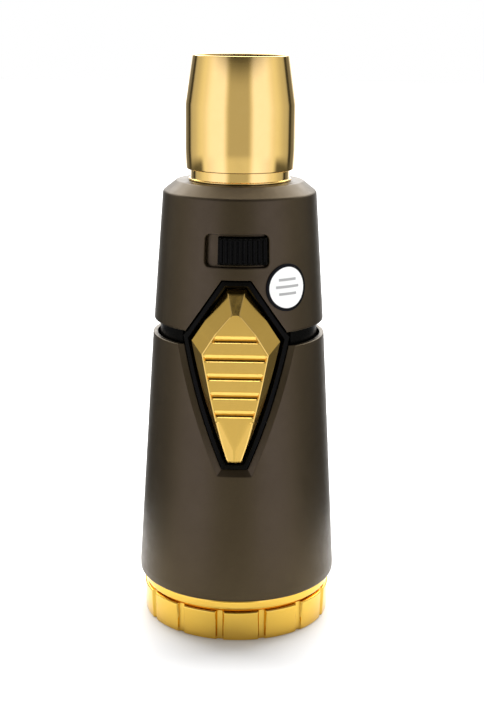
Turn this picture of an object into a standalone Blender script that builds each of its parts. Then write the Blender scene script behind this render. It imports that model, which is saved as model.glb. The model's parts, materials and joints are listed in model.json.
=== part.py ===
"""A refillable butane torch lighter: tapered two-part body, gold flame guard, faceted trigger and foot ring.

Metres, +Z up, the trigger faces -Y, and the origin is on the ground at the centre of the adjuster ring.
"""

import math

import bpy
from mathutils import Vector

MM = 0.001

# Driving dimensions -------------------------------------------------------------------------------
GAP = 0.3 * MM                      # clearance between pieces that touch on the real object
SEGMENTS = 48                       # sides of the large round pieces
INNER_SEGMENTS = 32                 # sides of the large round pieces inside
SMALL_SEGMENTS = 20                 # sides of the small round pieces
NEAR = 8.0 * MM                     # cutters for the front run between these distances from the axis
FAR = 40.0 * MM

# Adjuster ring at the foot
RING_HEIGHT = 11.1 * MM
RING_INSET = 1.14 * MM              # its pads in from the lower shell's widest line
RING_BAND_INSET = 0.26 * MM         # its plain band in from the pads
RING_WALL = 2.4 * MM
PAD_HEIGHT = 8.1 * MM
PAD_COUNT = 14
PAD_TAPER = 0.32 * MM
FLUTE_DEPTH = 0.8 * MM
FLUTE_SHARE = 0.24                  # share of the pitch that a flute takes
RING_SLIT = 0.7 * MM                # the slit between the pads and the plain band
RING_TURN = math.radians(4.8)       # where the first pad's middle stands, from the front
HUB_BOTTOM = 0.8 * MM
HUB_THICKNESS = 1.8 * MM
HUB_BOSS_RADIUS = 6.0 * MM
HUB_RIM = 2.2 * MM
HUB_SPOKES = 3
HUB_SPOKE_WIDTH = 4.0 * MM
HUB_SCREW_RADIUS = 1.0 * MM

# Body shells
SHELL_WALL = 1.2 * MM
BODY_RADIUS_FOOT = 26.6 * MM        # lower shell, just above its rounded foot
BODY_RADIUS_WAIST = 22.7 * MM       # lower shell, at its top edge
BODY_RADIUS_CHEST = 22.4 * MM       # upper shell, at its bottom edge
BODY_RADIUS_SHOULDER = 20.0 * MM    # upper shell, below the shoulder chamfer
SHOULDER_FLAT = 3.7 * MM            # width of the flat top of the upper shell, outside the neck
FOOT_FILLET = 2.2 * MM
SHOULDER_DROP = 2.8 * MM
LOWER_SHELL_HEIGHT = 66.9 * MM
WAIST_GAP = 3.6 * MM
UPPER_SHELL_HEIGHT = 36.5 * MM
BAND_OVERLAP = 2.3 * MM             # how far the black band runs up and down behind the shells
BAND_WALL = 1.5 * MM

# Flame guard and neck
NECK_WALL = 2.3 * MM
NECK_SHOW = 2.9 * MM
NECK_FLANGE = 2.8 * MM
NECK_FLANGE_WIDTH = 3.2 * MM
GUARD_LENGTH = 28.7 * MM
GUARD_SKIRT = 1.1 * MM              # wall of the part that fits over the neck
GUARD_FOOT_INSET = 0.25 * MM
GUARD_FOOT_TAPER = 4.7 * MM
GUARD_STRAIGHT = 11.7 * MM
GUARD_RIM_INSET = 1.8 * MM          # how far the cone closes in towards the rim
GUARD_WALL = 0.9 * MM
GUARD_EDGE = 0.4 * MM

# Trigger, its bezel and the notch in the shells
BEZEL_TOP_HALF = 3.55 * MM
BEZEL_RISE = 2.3 * MM               # from the lower shell up to the bezel's widest line
BEZEL_TOP_RISE = 14.8 * MM          # from there up to its top
BEZEL_CORNER_HALF = 13.5 * MM
BEZEL_BOTTOM_HALF = 3.2 * MM
BEZEL_BOTTOM_DROP = 33.4 * MM
BEZEL_BULGE = 1.0 * MM
BEZEL_WIDTH = 1.8 * MM
BEZEL_DEPTH = 2.6 * MM
BEZEL_SUNK = 0.3 * MM
NOTCH_BEVEL = 1.7 * MM
TRIGGER_CLEARANCE = 0.4 * MM
TRIGGER_EDGE_PROUD = 0.3 * MM
TRIGGER_TOP_PROUD = 3.0 * MM        # plateau above the body surface, at its top
TRIGGER_FOOT_PROUD = 1.5 * MM
TRIGGER_BACK = 17.5 * MM            # distance of the button's back from the body's axis
PLATEAU_TOP_HALF = 1.0 * MM
PLATEAU_TOP_RISE = 7.0 * MM
PLATEAU_CORNER_HALF = 8.35 * MM
PLATEAU_CORNER_DROP = 3.1 * MM
PLATEAU_KNEE_HALF = 5.0 * MM
PLATEAU_KNEE_DROP = 19.7 * MM
PLATEAU_SHOULDER_HALF = 5.2 * MM
PLATEAU_SHOULDER_RISE = 2.3 * MM
RIB_COUNT = 5
RIB_PITCH = 4.8 * MM
RIB_TOP_RISE = 0.85 * MM
RIB_WIDTH = 1.9 * MM
RIB_DEPTH = 0.6 * MM
RIB_MARGIN = 0.6 * MM
VEE_HALF = 3.4 * MM
VEE_TOP_DROP = 20.4 * MM
VEE_LENGTH = 7.2 * MM
VEE_DEPTH = 0.35 * MM
LEVER_THICKNESS = 2.0 * MM
LEVER_INSET = 1.4 * MM
TRIGGER_PIN_RADIUS = 0.9 * MM
TRIGGER_PIN_DROP = 33.6 * MM        # hinge below the bezel's widest line
TRIGGER_PIN_INSET = 5.6 * MM        # hinge behind the body's surface
LEVER_BOSS_RADIUS = 2.0 * MM
TRIGGER_SPRING_WIRE = 0.6 * MM
TRIGGER_SPRING_TURNS = 3.25
TRIGGER_SPRING_LEG = 5.0 * MM
LEVER_WEB_HALF = 2.5 * MM
LEVER_NUB_HALF = 1.5 * MM           # the nub that pushes the igniter, and the tail

# Lock slide
LOCK_HEIGHT = 8.1 * MM
LOCK_RISE = 21.05 * MM              # slot's middle above the waist gap
LOCK_HALF_ANGLE = math.radians(22.5)
LOCK_KNOB_ANGLE = math.radians(35.0)
LOCK_TRAVEL = math.radians(8.2)
LOCK_KNOB_PROUD = 0.8 * MM
LOCK_RIBS = 9
LOCK_RIB_DEPTH = 0.45 * MM
LOCK_CORNER = 1.3 * MM
LOCK_PLATE = 1.3 * MM
LOCK_PLATE_LIP = 1.6 * MM           # how far the plate runs above and below the slot

# Round label
LABEL_RADIUS = 6.0 * MM
LABEL_THICKNESS = 0.2 * MM
LABEL_ANGLE = math.radians(36.0)
LABEL_RISE = 11.6 * MM

# Chassis
CHASSIS_WALL = 1.8 * MM
CHASSIS_CLEARANCE = 0.95 * MM       # between each side wall and the gas hose
CHASSIS_FRONT = 9.0 * MM
CHASSIS_FLOOR = 2.7 * MM
CHASSIS_TOP = 2.5 * MM
CHASSIS_SCREW_RADIUS = 0.8 * MM
CHASSIS_BOSS_RADIUS = 2.2 * MM
EAR_REACH = 1.7 * MM                # the walls run this far in front of the trigger's hinge
EAR_RISE = 3.0 * MM                 # and this far above it, before they slope back
EAR_SLOPE = 10.0 * MM
SHELF_END = 7.0 * MM                # back ends of the shelves for the igniter and the jet
SHELF_THICKNESS = 2.0 * MM

# Piezo igniter
PIEZO_SIDE = 8.0 * MM
PIEZO_LENGTH = 25.0 * MM
PIEZO_PLUNGER = 5.6 * MM
PIEZO_RISE = 3.7 * MM               # its axis above the bottom of the waist gap
IGNITION_WIRE_RADIUS = 0.6 * MM
ELECTRODE_RADIUS = 0.5 * MM
INSULATOR_RADIUS = 1.3 * MM
INSULATOR_CLEARANCE = 0.45 * MM     # to the burner on one side, to the neck on the other

# Tank, outlet valve and refill valve
TANK_CLEARANCE = 1.06 * MM          # between the tank and the ring that turns round it
TANK_WALL = 1.5 * MM
TANK_BOTTOM = 5.0 * MM
TANK_BELOW_HINGE = 7.0 * MM
TANK_BASE = 3.0 * MM
TANK_FLANGE = 2.0 * MM
TANK_SHOULDER = 2.0 * MM            # the slope round the tank's top edge
TANK_SEAL = 1.6 * MM
FLOW_TUBE_RADIUS = 3.2 * MM
FLOW_TUBE_BORE = 2.0 * MM
FLOW_SCREW_RADIUS = 1.7 * MM
VALVE_RADIUS = 4.6 * MM
VALVE_HEIGHT = 9.7 * MM
VALVE_BORE = 1.25 * MM
STEM_RADIUS = 0.9 * MM
STEM_COLLAR_RADIUS = 2.4 * MM
STEM_COLLAR = 1.5 * MM
REFILL_RADIUS = 2.9 * MM
REFILL_FLANGE_RADIUS = 3.8 * MM
REFILL_INSET = 9.5 * MM             # its axis inside the tank's outer wall

# Rocker between the trigger and the outlet valve
ROCKER_RISE = 4.0 * MM              # its pin above the outlet valve
ROCKER_PIN_DEPTH = 4.0 * MM
ROCKER_PIN_RADIUS = 0.9 * MM
ROCKER_THICKNESS = 3.0 * MM
ROCKER_HALF_WIDTH = 2.6 * MM
ROCKER_FRONT = 7.0 * MM
ROCKER_REAR = 4.9 * MM
TAIL_OVERLAP = 1.0 * MM             # how far the lever's tail reaches over the rocker's front end
TAIL_THICKNESS = 2.5 * MM

# Burner
HOSE_RADIUS = 1.3 * MM
HOSE_CLEARANCE = 0.45 * MM          # between the hose and the igniter that it passes
HOSE_BACK = 9.2 * MM
JET_HOLDER_RADIUS = 3.5 * MM
JET_HOLDER_HEIGHT = 5.7 * MM
JET_FLANGE_RADIUS = 5.0 * MM
JET_RADIUS = 1.5 * MM
BURNER_TUBE_RADIUS = 4.2 * MM
BURNER_TUBE_WALL = 0.8 * MM
AIR_HOLE_RADIUS = 1.1 * MM
AIR_HOLE_RISE = 6.0 * MM            # above the foot of the mixing tube
BURNER_RADIUS = 7.0 * MM
BURNER_HEIGHT = 18.0 * MM
BURNER_WALL = 0.8 * MM
BURNER_SUNK = 12.0 * MM             # burner mouth below the guard's rim
HOLDER_HOLES = 8
SHIELD_THICKNESS = 1.0 * MM

# Radii, heights and places that follow ------------------------------------------------------------
RING_RADIUS = BODY_RADIUS_FOOT - RING_INSET
RING_BAND_RADIUS = RING_RADIUS - RING_BAND_INSET
INSULATOR_ORBIT = BURNER_RADIUS + INSULATOR_CLEARANCE + INSULATOR_RADIUS
NECK_BORE = INSULATOR_ORBIT + INSULATOR_RADIUS + INSULATOR_CLEARANCE
NECK_RADIUS = NECK_BORE + NECK_WALL
NECK_FLANGE_RADIUS = NECK_RADIUS + NECK_FLANGE_WIDTH
BODY_RADIUS_TOP = NECK_RADIUS + SHOULDER_FLAT
GUARD_RADIUS = NECK_RADIUS + GAP + GUARD_SKIRT
HOSE_SIDE = PIEZO_SIDE / 2 + HOSE_CLEARANCE + HOSE_RADIUS
CHASSIS_HALF_WIDTH = HOSE_SIDE + HOSE_RADIUS + CHASSIS_CLEARANCE
LOWER_FOOT = RING_HEIGHT + GAP
LOWER_TOP = LOWER_FOOT + LOWER_SHELL_HEIGHT
UPPER_FOOT = LOWER_TOP + WAIST_GAP
UPPER_TOP = UPPER_FOOT + UPPER_SHELL_HEIGHT
GUARD_FOOT = UPPER_TOP + NECK_SHOW
GUARD_TOP = GUARD_FOOT + GUARD_LENGTH
WIDEST = LOWER_TOP + BEZEL_RISE
PIN_Z = WIDEST - TRIGGER_PIN_DROP
TANK_TOP = PIN_Z - TANK_BELOW_HINGE
FLOOR_Z = TANK_TOP + GAP
VALVE_TOP = FLOOR_Z + VALVE_HEIGHT
ROCKER_Z = VALVE_TOP + ROCKER_RISE
TAIL_Z = ROCKER_Z + ROCKER_THICKNESS / 2 + GAP
PIEZO_Z = LOWER_TOP + PIEZO_RISE
PIEZO_FRONT = -CHASSIS_FRONT
JET_Z = PIEZO_Z + PIEZO_SIDE / 2 + 2.3 * MM
CHASSIS_TOP_Z = UPPER_FOOT + LOCK_RISE + LOCK_HEIGHT / 2 + LOCK_PLATE_LIP + GAP
BURNER_BASE = GUARD_TOP - BURNER_SUNK - BURNER_HEIGHT


# Materials ----------------------------------------------------------------------------------------
def material(name, colour, roughness, metallic):
    """A Principled material. The colour is sRGB, 0 to 255."""
    made = bpy.data.materials.new(name)
    made.use_nodes = True
    shader = made.node_tree.nodes["Principled BSDF"]
    linear = [(channel / 255) ** 2.2 for channel in colour]
    shader.inputs["Base Color"].default_value = (*linear, 1.0)
    shader.inputs["Roughness"].default_value = roughness
    shader.inputs["Metallic"].default_value = metallic
    made.diffuse_color = (*linear, 1.0)
    return made


# Mesh helpers -------------------------------------------------------------------------------------
def add_object(name, mesh, look):
    made = bpy.data.objects.new(name, mesh)
    bpy.context.scene.collection.objects.link(made)
    if look:
        mesh.materials.append(look)
    return made


def skin(name, rings, look=None, joined=False):
    """A closed solid through rings of points. The ends are capped, or joined into a loop."""
    count = len(rings[0])
    points = [point for ring in rings for point in ring]
    faces = []
    for i in range(len(rings) if joined else len(rings) - 1):
        low = i * count
        high = (i + 1) % len(rings) * count
        for j in range(count):
            after = (j + 1) % count
            faces.append((low + j, low + after, high + after, high + j))
    if not joined:
        faces.append(tuple(reversed(range(count))))
        faces.append(tuple(range(len(points) - count, len(points))))
    mesh = bpy.data.meshes.new(name)
    mesh.from_pydata([tuple(point) for point in points], [], faces)
    if signed_volume(mesh) < 0:
        mesh.flip_normals()
    mesh.shade_smooth()
    mesh.set_sharp_from_angle(angle=math.radians(32))
    return add_object(name, mesh, look)


def signed_volume(mesh):
    mesh.calc_loop_triangles()
    total = 0.0
    for triangle in mesh.loop_triangles:
        a, b, c = (mesh.vertices[i].co for i in triangle.vertices)
        total += a.dot(b.cross(c))
    return total


def circle(radius, z, segments):
    steps = (math.tau * i / segments for i in range(segments))
    return [Vector((radius * math.cos(a), radius * math.sin(a), z)) for a in steps]


def lathe(name, profile, look=None, joined=False, segments=SMALL_SEGMENTS, at=(0, 0, 0), axis="Z"):
    """A turned solid. The profile is (radius, height) pairs, and joined makes it a closed loop."""
    made = skin(name, [circle(r, z, segments) for r, z in profile], look, joined)
    return placed(made, at, axis)


def placed(made, at, axis):
    """Turns an object made along Z so that it runs along the axis, and moves it into place."""
    made.location = at
    if axis == "X":
        made.rotation_euler = (0, math.radians(90), 0)
    if axis == "Y":
        made.rotation_euler = (math.radians(-90), 0, 0)
    bpy.context.view_layer.update()
    return made


def rod(name, radius, start, length, look=None, at=(0, 0, 0), axis="Z", segments=SMALL_SEGMENTS):
    return lathe(name, [(radius, start), (radius, start + length)], look, False, segments, at, axis)


def tube_loop(outer, inner, low, high):
    return [(outer, low), (outer, high), (inner, high), (inner, low)]


def block(name, low, high, look=None):
    """A box between two corners."""
    corners = [(low[0], low[1]), (high[0], low[1]), (high[0], high[1]), (low[0], high[1])]
    return skin(name, [[Vector((x, y, z)) for x, y in corners] for z in (low[2], high[2])], look)


def extruded(name, outline, low, high, plane, look=None):
    """A flat outline extruded along the axis that its plane leaves out."""
    places = {"YZ": lambda u, v, w: (w, u, v), "XZ": lambda u, v, w: (u, w, v)}[plane]
    rings = [[Vector(places(u, v, w)) for u, v in outline] for w in (low, high)]
    return skin(name, rings, look)


def boolean(made, other, operation):
    """Cuts with a helper object, or joins it on. The helper stays as a hidden wire shape."""
    step = made.modifiers.new(other.name, "BOOLEAN")
    step.operation = operation
    step.solver = "EXACT"
    step.object = other
    other.hide_render = True
    other.display_type = "WIRE"
    return made


def cut(made, *others):
    for other in others:
        boolean(made, other, "DIFFERENCE")
    return made


def join(made, *others):
    for other in others:
        boolean(made, other, "UNION")
    return made


def smooth_path(points, steps):
    """Points on a Catmull-Rom curve through the route's own points."""
    ends = [points[0] * 2 - points[1], *points, points[-1] * 2 - points[-2]]
    path = []
    for i in range(1, len(ends) - 2):
        a, b, c, d = ends[i - 1 : i + 3]
        for j in range(steps):
            t = j / steps
            path.append(
                b + (c - a) * t / 2 + (a * 2 - b * 5 + c * 4 - d) * t * t / 2
                + (b * 3 - a - c * 3 + d) * t * t * t / 2
            )
    return path + [points[-1]]


def wire(name, points, radius, look, resolution=2):
    """A solid wire along a list of points."""
    curve = bpy.data.curves.new(name, "CURVE")
    curve.dimensions = "3D"
    curve.bevel_depth = radius
    curve.bevel_resolution = resolution
    curve.use_fill_caps = True
    spline = curve.splines.new("POLY")
    spline.points.add(len(points) - 1)
    for place, point in zip(spline.points, points):
        place.co = (*point, 1)
    curve.materials.append(look)
    made = bpy.data.objects.new(name, curve)
    bpy.context.scene.collection.objects.link(made)
    return made


def coil_points(radius, low, high, turns, centre=(0, 0), steps=10):
    """Points of a compression spring that stands along Z."""
    count = int(turns * steps)
    points = []
    for i in range(count + 1):
        angle = math.tau * i / steps
        x = centre[0] + radius * math.cos(angle)
        y = centre[1] + radius * math.sin(angle)
        points.append(Vector((x, y, low + (high - low) * i / count)))
    return points


def pivot(name, at, *riders):
    """An empty on a joint's axis, which the moving pieces ride on."""
    empty = bpy.data.objects.new(name, None)
    empty.location = at
    empty.empty_display_size = 5 * MM
    bpy.context.scene.collection.objects.link(empty)
    bpy.context.view_layer.update()
    for rider in riders:
        rider.parent = empty
        rider.matrix_parent_inverse = empty.matrix_world.inverted()
    return empty


# The body's outer surface -------------------------------------------------------------------------
def body_radius(z):
    """Radius of the body's front surface at a height, run straight across the waist gap."""
    shoulder_z = UPPER_TOP - SHOULDER_DROP
    foot_z = LOWER_FOOT + FOOT_FILLET
    if z >= UPPER_FOOT:
        share = (z - UPPER_FOOT) / (shoulder_z - UPPER_FOOT)
        return BODY_RADIUS_CHEST + (BODY_RADIUS_SHOULDER - BODY_RADIUS_CHEST) * share
    if z >= LOWER_TOP:
        share = (z - LOWER_TOP) / WAIST_GAP
        return BODY_RADIUS_WAIST + (BODY_RADIUS_CHEST - BODY_RADIUS_WAIST) * share
    share = (z - foot_z) / (LOWER_TOP - foot_z)
    return BODY_RADIUS_FOOT + (BODY_RADIUS_WAIST - BODY_RADIUS_FOOT) * share


def hinge_depth():
    """The trigger hinge's distance from the body's axis."""
    return body_radius(PIN_Z) - TRIGGER_PIN_INSET


def on_front(x, z, lift):
    """The point of the front, seen at (x, z), that stands this far off the body's surface."""
    radius = body_radius(z) + lift
    return Vector((x, -math.sqrt(max(radius * radius - x * x, 0.0)), z))


def diamond(inset):
    """Half of the bezel's outline, inset evenly: (x, z) from the top edge's end to the bottom edge's."""
    top = Vector((BEZEL_TOP_HALF, WIDEST + BEZEL_TOP_RISE))
    corner = Vector((BEZEL_CORNER_HALF, WIDEST))
    bottom = Vector((BEZEL_BOTTOM_HALF, WIDEST - BEZEL_BOTTOM_DROP))
    side = bottom - corner
    outward = Vector((-side.y, side.x)).normalized()
    middle = (corner + bottom) / 2 + outward * 2 * BEZEL_BULGE
    steps = 6
    curve = []
    for i in range(steps + 1):
        t = i / steps
        curve.append(corner * (1 - t) ** 2 + middle * 2 * t * (1 - t) + bottom * t * t)
    line = [Vector((-top.x, top.y)), top, *curve, Vector((-bottom.x, bottom.y))]
    inner = []
    for before, here, after in zip(line, line[1:], line[2:]):
        one = (here - before).normalized()
        two = (after - here).normalized()
        normal_one = Vector((one.y, -one.x))
        normal_two = Vector((two.y, -two.x))
        mitre = (normal_one + normal_two).normalized()
        inner.append(here + mitre * inset / mitre.dot(normal_one))
    return inner


def whole(half):
    """A half outline with its mirror image."""
    return [Vector((x, z)) for x, z in half] + [Vector((-x, z)) for x, z in reversed(half)]


def diamond_rings(steps):
    """Rings on the body's front from (inset, lift) pairs, all with the same number of points."""
    parts = [
        max(1, math.ceil((b - a).length / (2.5 * MM)))
        for a, b in neighbours(whole(diamond(0)))
    ]
    rings = []
    for inset, lift in steps:
        ring = []
        for (here, after), count in zip(neighbours(whole(diamond(inset))), parts):
            ring += [here.lerp(after, i / count) for i in range(count)]
        rings.append([on_front(x, z, lift) for x, z in ring])
    return rings


def neighbours(outline):
    return list(zip(outline, outline[1:] + outline[:1]))


def sector(name, low, high, start, end, inner, outer, look=None, steps=12):
    """A piece of a tapered wall between two angles from the front. The radii are lifts off the body."""
    angles = [start + (end - start) * i / steps for i in range(steps + 1)]
    rings = []
    for z in (low, high):
        out = [around(body_radius(z) + outer, a, z) for a in angles]
        back = [around(body_radius(z) + inner, a, z) for a in reversed(angles)]
        rings.append(out + back)
    return skin(name, rings, look)


def around(radius, angle, z):
    """A point at an angle from the front, positive towards +X."""
    return Vector((radius * math.sin(angle), -radius * math.cos(angle), z))


# Outer pieces -------------------------------------------------------------------------------------
def make_upper_shell(look):
    shoulder_z = UPPER_TOP - SHOULDER_DROP
    hole = NECK_RADIUS + GAP
    inner_top = BODY_RADIUS_SHOULDER - SHELL_WALL
    profile = [
        (hole, UPPER_TOP),
        (BODY_RADIUS_TOP, UPPER_TOP),
        (BODY_RADIUS_SHOULDER, shoulder_z),
        (BODY_RADIUS_CHEST, UPPER_FOOT),
        (BODY_RADIUS_CHEST - SHELL_WALL, UPPER_FOOT),
        (inner_top, shoulder_z - SHELL_WALL / 2),
        (BODY_RADIUS_TOP - SHELL_WALL / 2, UPPER_TOP - SHELL_WALL),
        (hole, UPPER_TOP - SHELL_WALL),
    ]
    shell = lathe("upper_shell", profile, look, True, SEGMENTS)
    notch = extruded("upper_notch_cutter", whole(diamond(-GAP)), -FAR, -NEAR, "XZ")
    return cut(shell, notch, extruded("lock_slot_cutter", lock_slot(), -FAR, -NEAR, "XZ"))


def make_lower_shell(look):
    foot_z = LOWER_FOOT + FOOT_FILLET
    profile = [
        (BODY_RADIUS_WAIST - SHELL_WALL, LOWER_TOP),
        (BODY_RADIUS_WAIST, LOWER_TOP),
        (BODY_RADIUS_FOOT, foot_z),
        (BODY_RADIUS_FOOT - FOOT_FILLET * 0.12, foot_z - FOOT_FILLET * 0.5),
        (BODY_RADIUS_FOOT - FOOT_FILLET * 0.5, LOWER_FOOT),
        (BODY_RADIUS_FOOT - FOOT_FILLET * 0.3 - SHELL_WALL, LOWER_FOOT),
        (BODY_RADIUS_FOOT - SHELL_WALL, foot_z),
    ]
    shell = lathe("lower_shell", profile, look, True, SEGMENTS)
    wide = -GAP - NOTCH_BEVEL
    rings = diamond_rings([(-GAP, -SHELL_WALL * 0.8), (wide, 0.0), (wide - MM, MM)])
    inside = [Vector((point.x, -NEAR, point.z)) for point in rings[0]]
    outside = [Vector((point.x, -FAR, point.z)) for point in rings[-1]]
    return cut(shell, skin("lower_notch_cutter", [inside, *rings, outside]))


def make_band(look):
    """The black band behind the waist gap, open at the front for the trigger."""
    low = LOWER_TOP - BAND_OVERLAP
    high = UPPER_FOOT + BAND_OVERLAP
    outer = body_radius(high) - SHELL_WALL - GAP
    profile = tube_loop(outer, outer - BAND_WALL, low, high)
    band = lathe("waist_band", profile, look, True, SEGMENTS)
    half = BEZEL_CORNER_HALF + GAP
    front = block("band_cutter", (-half, -FAR, low - MM), (half, 0, high + MM))
    return cut(band, front)


def make_bezel(look):
    inner = BEZEL_WIDTH
    back = -BEZEL_SUNK - BEZEL_DEPTH
    steps = [(0.0, -BEZEL_SUNK), (inner, -BEZEL_SUNK), (inner, back), (0.0, back)]
    return skin("trigger_bezel", diamond_rings(steps), look, True)


def make_ring(look):
    """The fluted ring that turns the flame up and down."""
    inner = RING_RADIUS - RING_WALL
    slit_top = PAD_HEIGHT + RING_SLIT
    flute = FLUTE_DEPTH
    levels = [
        (RING_RADIUS - PAD_TAPER, flute, 0.0),
        (RING_RADIUS, flute, PAD_HEIGHT),
        (RING_RADIUS - flute, 0.0, PAD_HEIGHT),
        (RING_RADIUS - flute, 0.0, slit_top),
        (RING_BAND_RADIUS, 0.0, slit_top),
        (RING_BAND_RADIUS, 0.0, RING_HEIGHT),
        (inner, 0.0, RING_HEIGHT),
        (inner, 0.0, 0.0),
    ]
    pitch = math.tau / PAD_COUNT
    half = pitch * FLUTE_SHARE / 2
    rings = []
    for radius, depth, z in levels:
        ring = []
        for pad in range(PAD_COUNT):
            middle = RING_TURN + pitch * (pad + 0.5)
            ring.append(around(radius, middle - half, z))
            ring.append(around(radius - depth, middle - half * 0.6, z))
            ring.append(around(radius - depth, middle + half * 0.6, z))
            ring.append(around(radius, middle + half, z))
            ring.append(around(radius, middle + pitch / 2, z))
        rings.append(ring)
    return skin("adjuster_ring", rings, look, True)


def make_guard(look):
    """The flame guard: a short taper, a straight part and a cone up to the rim."""
    straight = GUARD_FOOT + GUARD_FOOT_TAPER
    cone = straight + GUARD_STRAIGHT
    bore = NECK_RADIUS + GAP
    foot = GUARD_RADIUS - GUARD_FOOT_INSET
    rim = GUARD_RADIUS - GUARD_RIM_INSET
    profile = [
        (foot - GUARD_EDGE, GUARD_FOOT),
        (foot, GUARD_FOOT + GUARD_EDGE),
        (GUARD_RADIUS, straight),
        (GUARD_RADIUS, cone),
        (rim, GUARD_TOP),
        (rim - GUARD_WALL, GUARD_TOP),
        (bore, cone),
        (bore, GUARD_FOOT),
    ]
    return lathe("flame_guard", profile, look, True, SEGMENTS)


def make_neck(look):
    """The collar that clamps the upper shell and carries the flame guard."""
    flange_top = UPPER_TOP - SHELL_WALL - GAP
    flange_low = flange_top - NECK_FLANGE
    foot = CHASSIS_TOP_Z + CHASSIS_TOP + SHIELD_THICKNESS + 2 * GAP
    profile = [
        (NECK_BORE, foot),
        (NECK_RADIUS, foot),
        (NECK_RADIUS, flange_low),
        (NECK_FLANGE_RADIUS, flange_low),
        (NECK_FLANGE_RADIUS, flange_top - MM),
        (NECK_FLANGE_RADIUS - MM, flange_top),
        (NECK_RADIUS, flange_top),
        (NECK_RADIUS, GUARD_FOOT + GUARD_FOOT_TAPER),
        (NECK_BORE, GUARD_FOOT + GUARD_FOOT_TAPER),
    ]
    return lathe("guard_collar", profile, look, True, INNER_SEGMENTS)


def make_label(look):
    """A blank round label that follows the upper shell."""
    middle_z = UPPER_FOOT + LABEL_RISE
    radius = body_radius(middle_z)
    shares = (0.33, 0.67, 1.0)
    levels = [(share, GAP * 0.5 + LABEL_THICKNESS) for share in shares]
    levels += [(share, GAP * 0.5) for share in reversed(shares)]
    rings = []
    for share, lift in levels:
        ring = []
        for i in range(SMALL_SEGMENTS):
            turn = math.tau * i / SMALL_SEGMENTS
            z = middle_z + LABEL_RADIUS * share * math.sin(turn)
            angle = LABEL_ANGLE + LABEL_RADIUS * share * math.cos(turn) / radius
            ring.append(around(body_radius(z) + lift, angle, z))
        rings.append(ring)
    return skin("round_label", rings, look)


# Trigger ------------------------------------------------------------------------------------------
def plateau_depth(z):
    """Distance of the button's flat front from the body's axis plane, at a height."""
    top_z = WIDEST + PLATEAU_TOP_RISE
    foot_z = WIDEST - BEZEL_BOTTOM_DROP + BEZEL_WIDTH + TRIGGER_CLEARANCE
    top = body_radius(top_z) + TRIGGER_TOP_PROUD
    foot = body_radius(foot_z) + TRIGGER_FOOT_PROUD
    return foot + (top - foot) * (z - foot_z) / (top_z - foot_z)


def plateau_half(outline):
    """Half of the plateau's edge, with a point for each point of the button's outline."""
    corner = Vector((PLATEAU_CORNER_HALF, WIDEST - PLATEAU_CORNER_DROP))
    knee = Vector((PLATEAU_KNEE_HALF, WIDEST - PLATEAU_KNEE_DROP))
    foot = outline[-1] + Vector((0.0, 0.1 * MM))
    top = Vector((PLATEAU_TOP_HALF, WIDEST + PLATEAU_TOP_RISE))
    shoulder = Vector((PLATEAU_SHOULDER_HALF, WIDEST + PLATEAU_SHOULDER_RISE))
    middle = knee * 2 - (corner + foot) / 2
    steps = len(outline) - 3
    half = [top, shoulder]
    for i in range(steps + 1):
        t = i / steps
        half.append(corner * (1 - t) ** 2 + middle * 2 * t * (1 - t) + foot * t * t)
    return half


def make_button(look):
    """The faceted button: an outline on the body's surface, a raised plateau, ribs and a vee."""
    inset = BEZEL_WIDTH + TRIGGER_CLEARANCE
    half = diamond(inset)
    half.insert(1, half[0].lerp(half[1], 0.5))
    edge = plateau_half(half)
    back_ring = [Vector((x, -TRIGGER_BACK, z)) for x, z in whole(half)]
    edge_ring = [on_front(x, z, TRIGGER_EDGE_PROUD) for x, z in whole(half)]
    top_ring = [Vector((x, -plateau_depth(z), z)) for x, z in whole(edge)]
    button = skin("trigger_button", [back_ring, edge_ring, top_ring], look)
    cutters = [rib_cutter(i, edge) for i in range(RIB_COUNT)]
    return cut(button, *cutters, vee_cutter())


def half_width_at(edge, z):
    """Half-width of the plateau's edge at a height."""
    for above, below in zip(edge, edge[1:]):
        if above.y >= z > below.y:
            return above.x + (below.x - above.x) * (above.y - z) / (above.y - below.y)
    return edge[-1].x


def rib_cutter(index, edge):
    """A shallow round groove across the plateau."""
    z = WIDEST + RIB_TOP_RISE - RIB_PITCH * index
    radius = (RIB_WIDTH**2 / 4 + RIB_DEPTH**2) / (2 * RIB_DEPTH)
    half = min(half_width_at(edge, z + RIB_WIDTH / 2), half_width_at(edge, z - RIB_WIDTH / 2))
    half -= RIB_MARGIN
    centre = (0, -plateau_depth(z) - radius + RIB_DEPTH, z)
    return rod(f"rib_cutter_{index + 1}", radius, -half, 2 * half, None, centre, "X", 20)


def vee_cutter():
    top = WIDEST - VEE_TOP_DROP
    tip = top - VEE_LENGTH
    outline = [(-VEE_HALF, top), (VEE_HALF, top), (0.0, tip)]
    back = [Vector((x, VEE_DEPTH - plateau_depth(z), z)) for x, z in outline]
    front = [Vector((x, -5 * MM - plateau_depth(z), z)) for x, z in outline]
    return skin("vee_cutter", [back, front])


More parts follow.
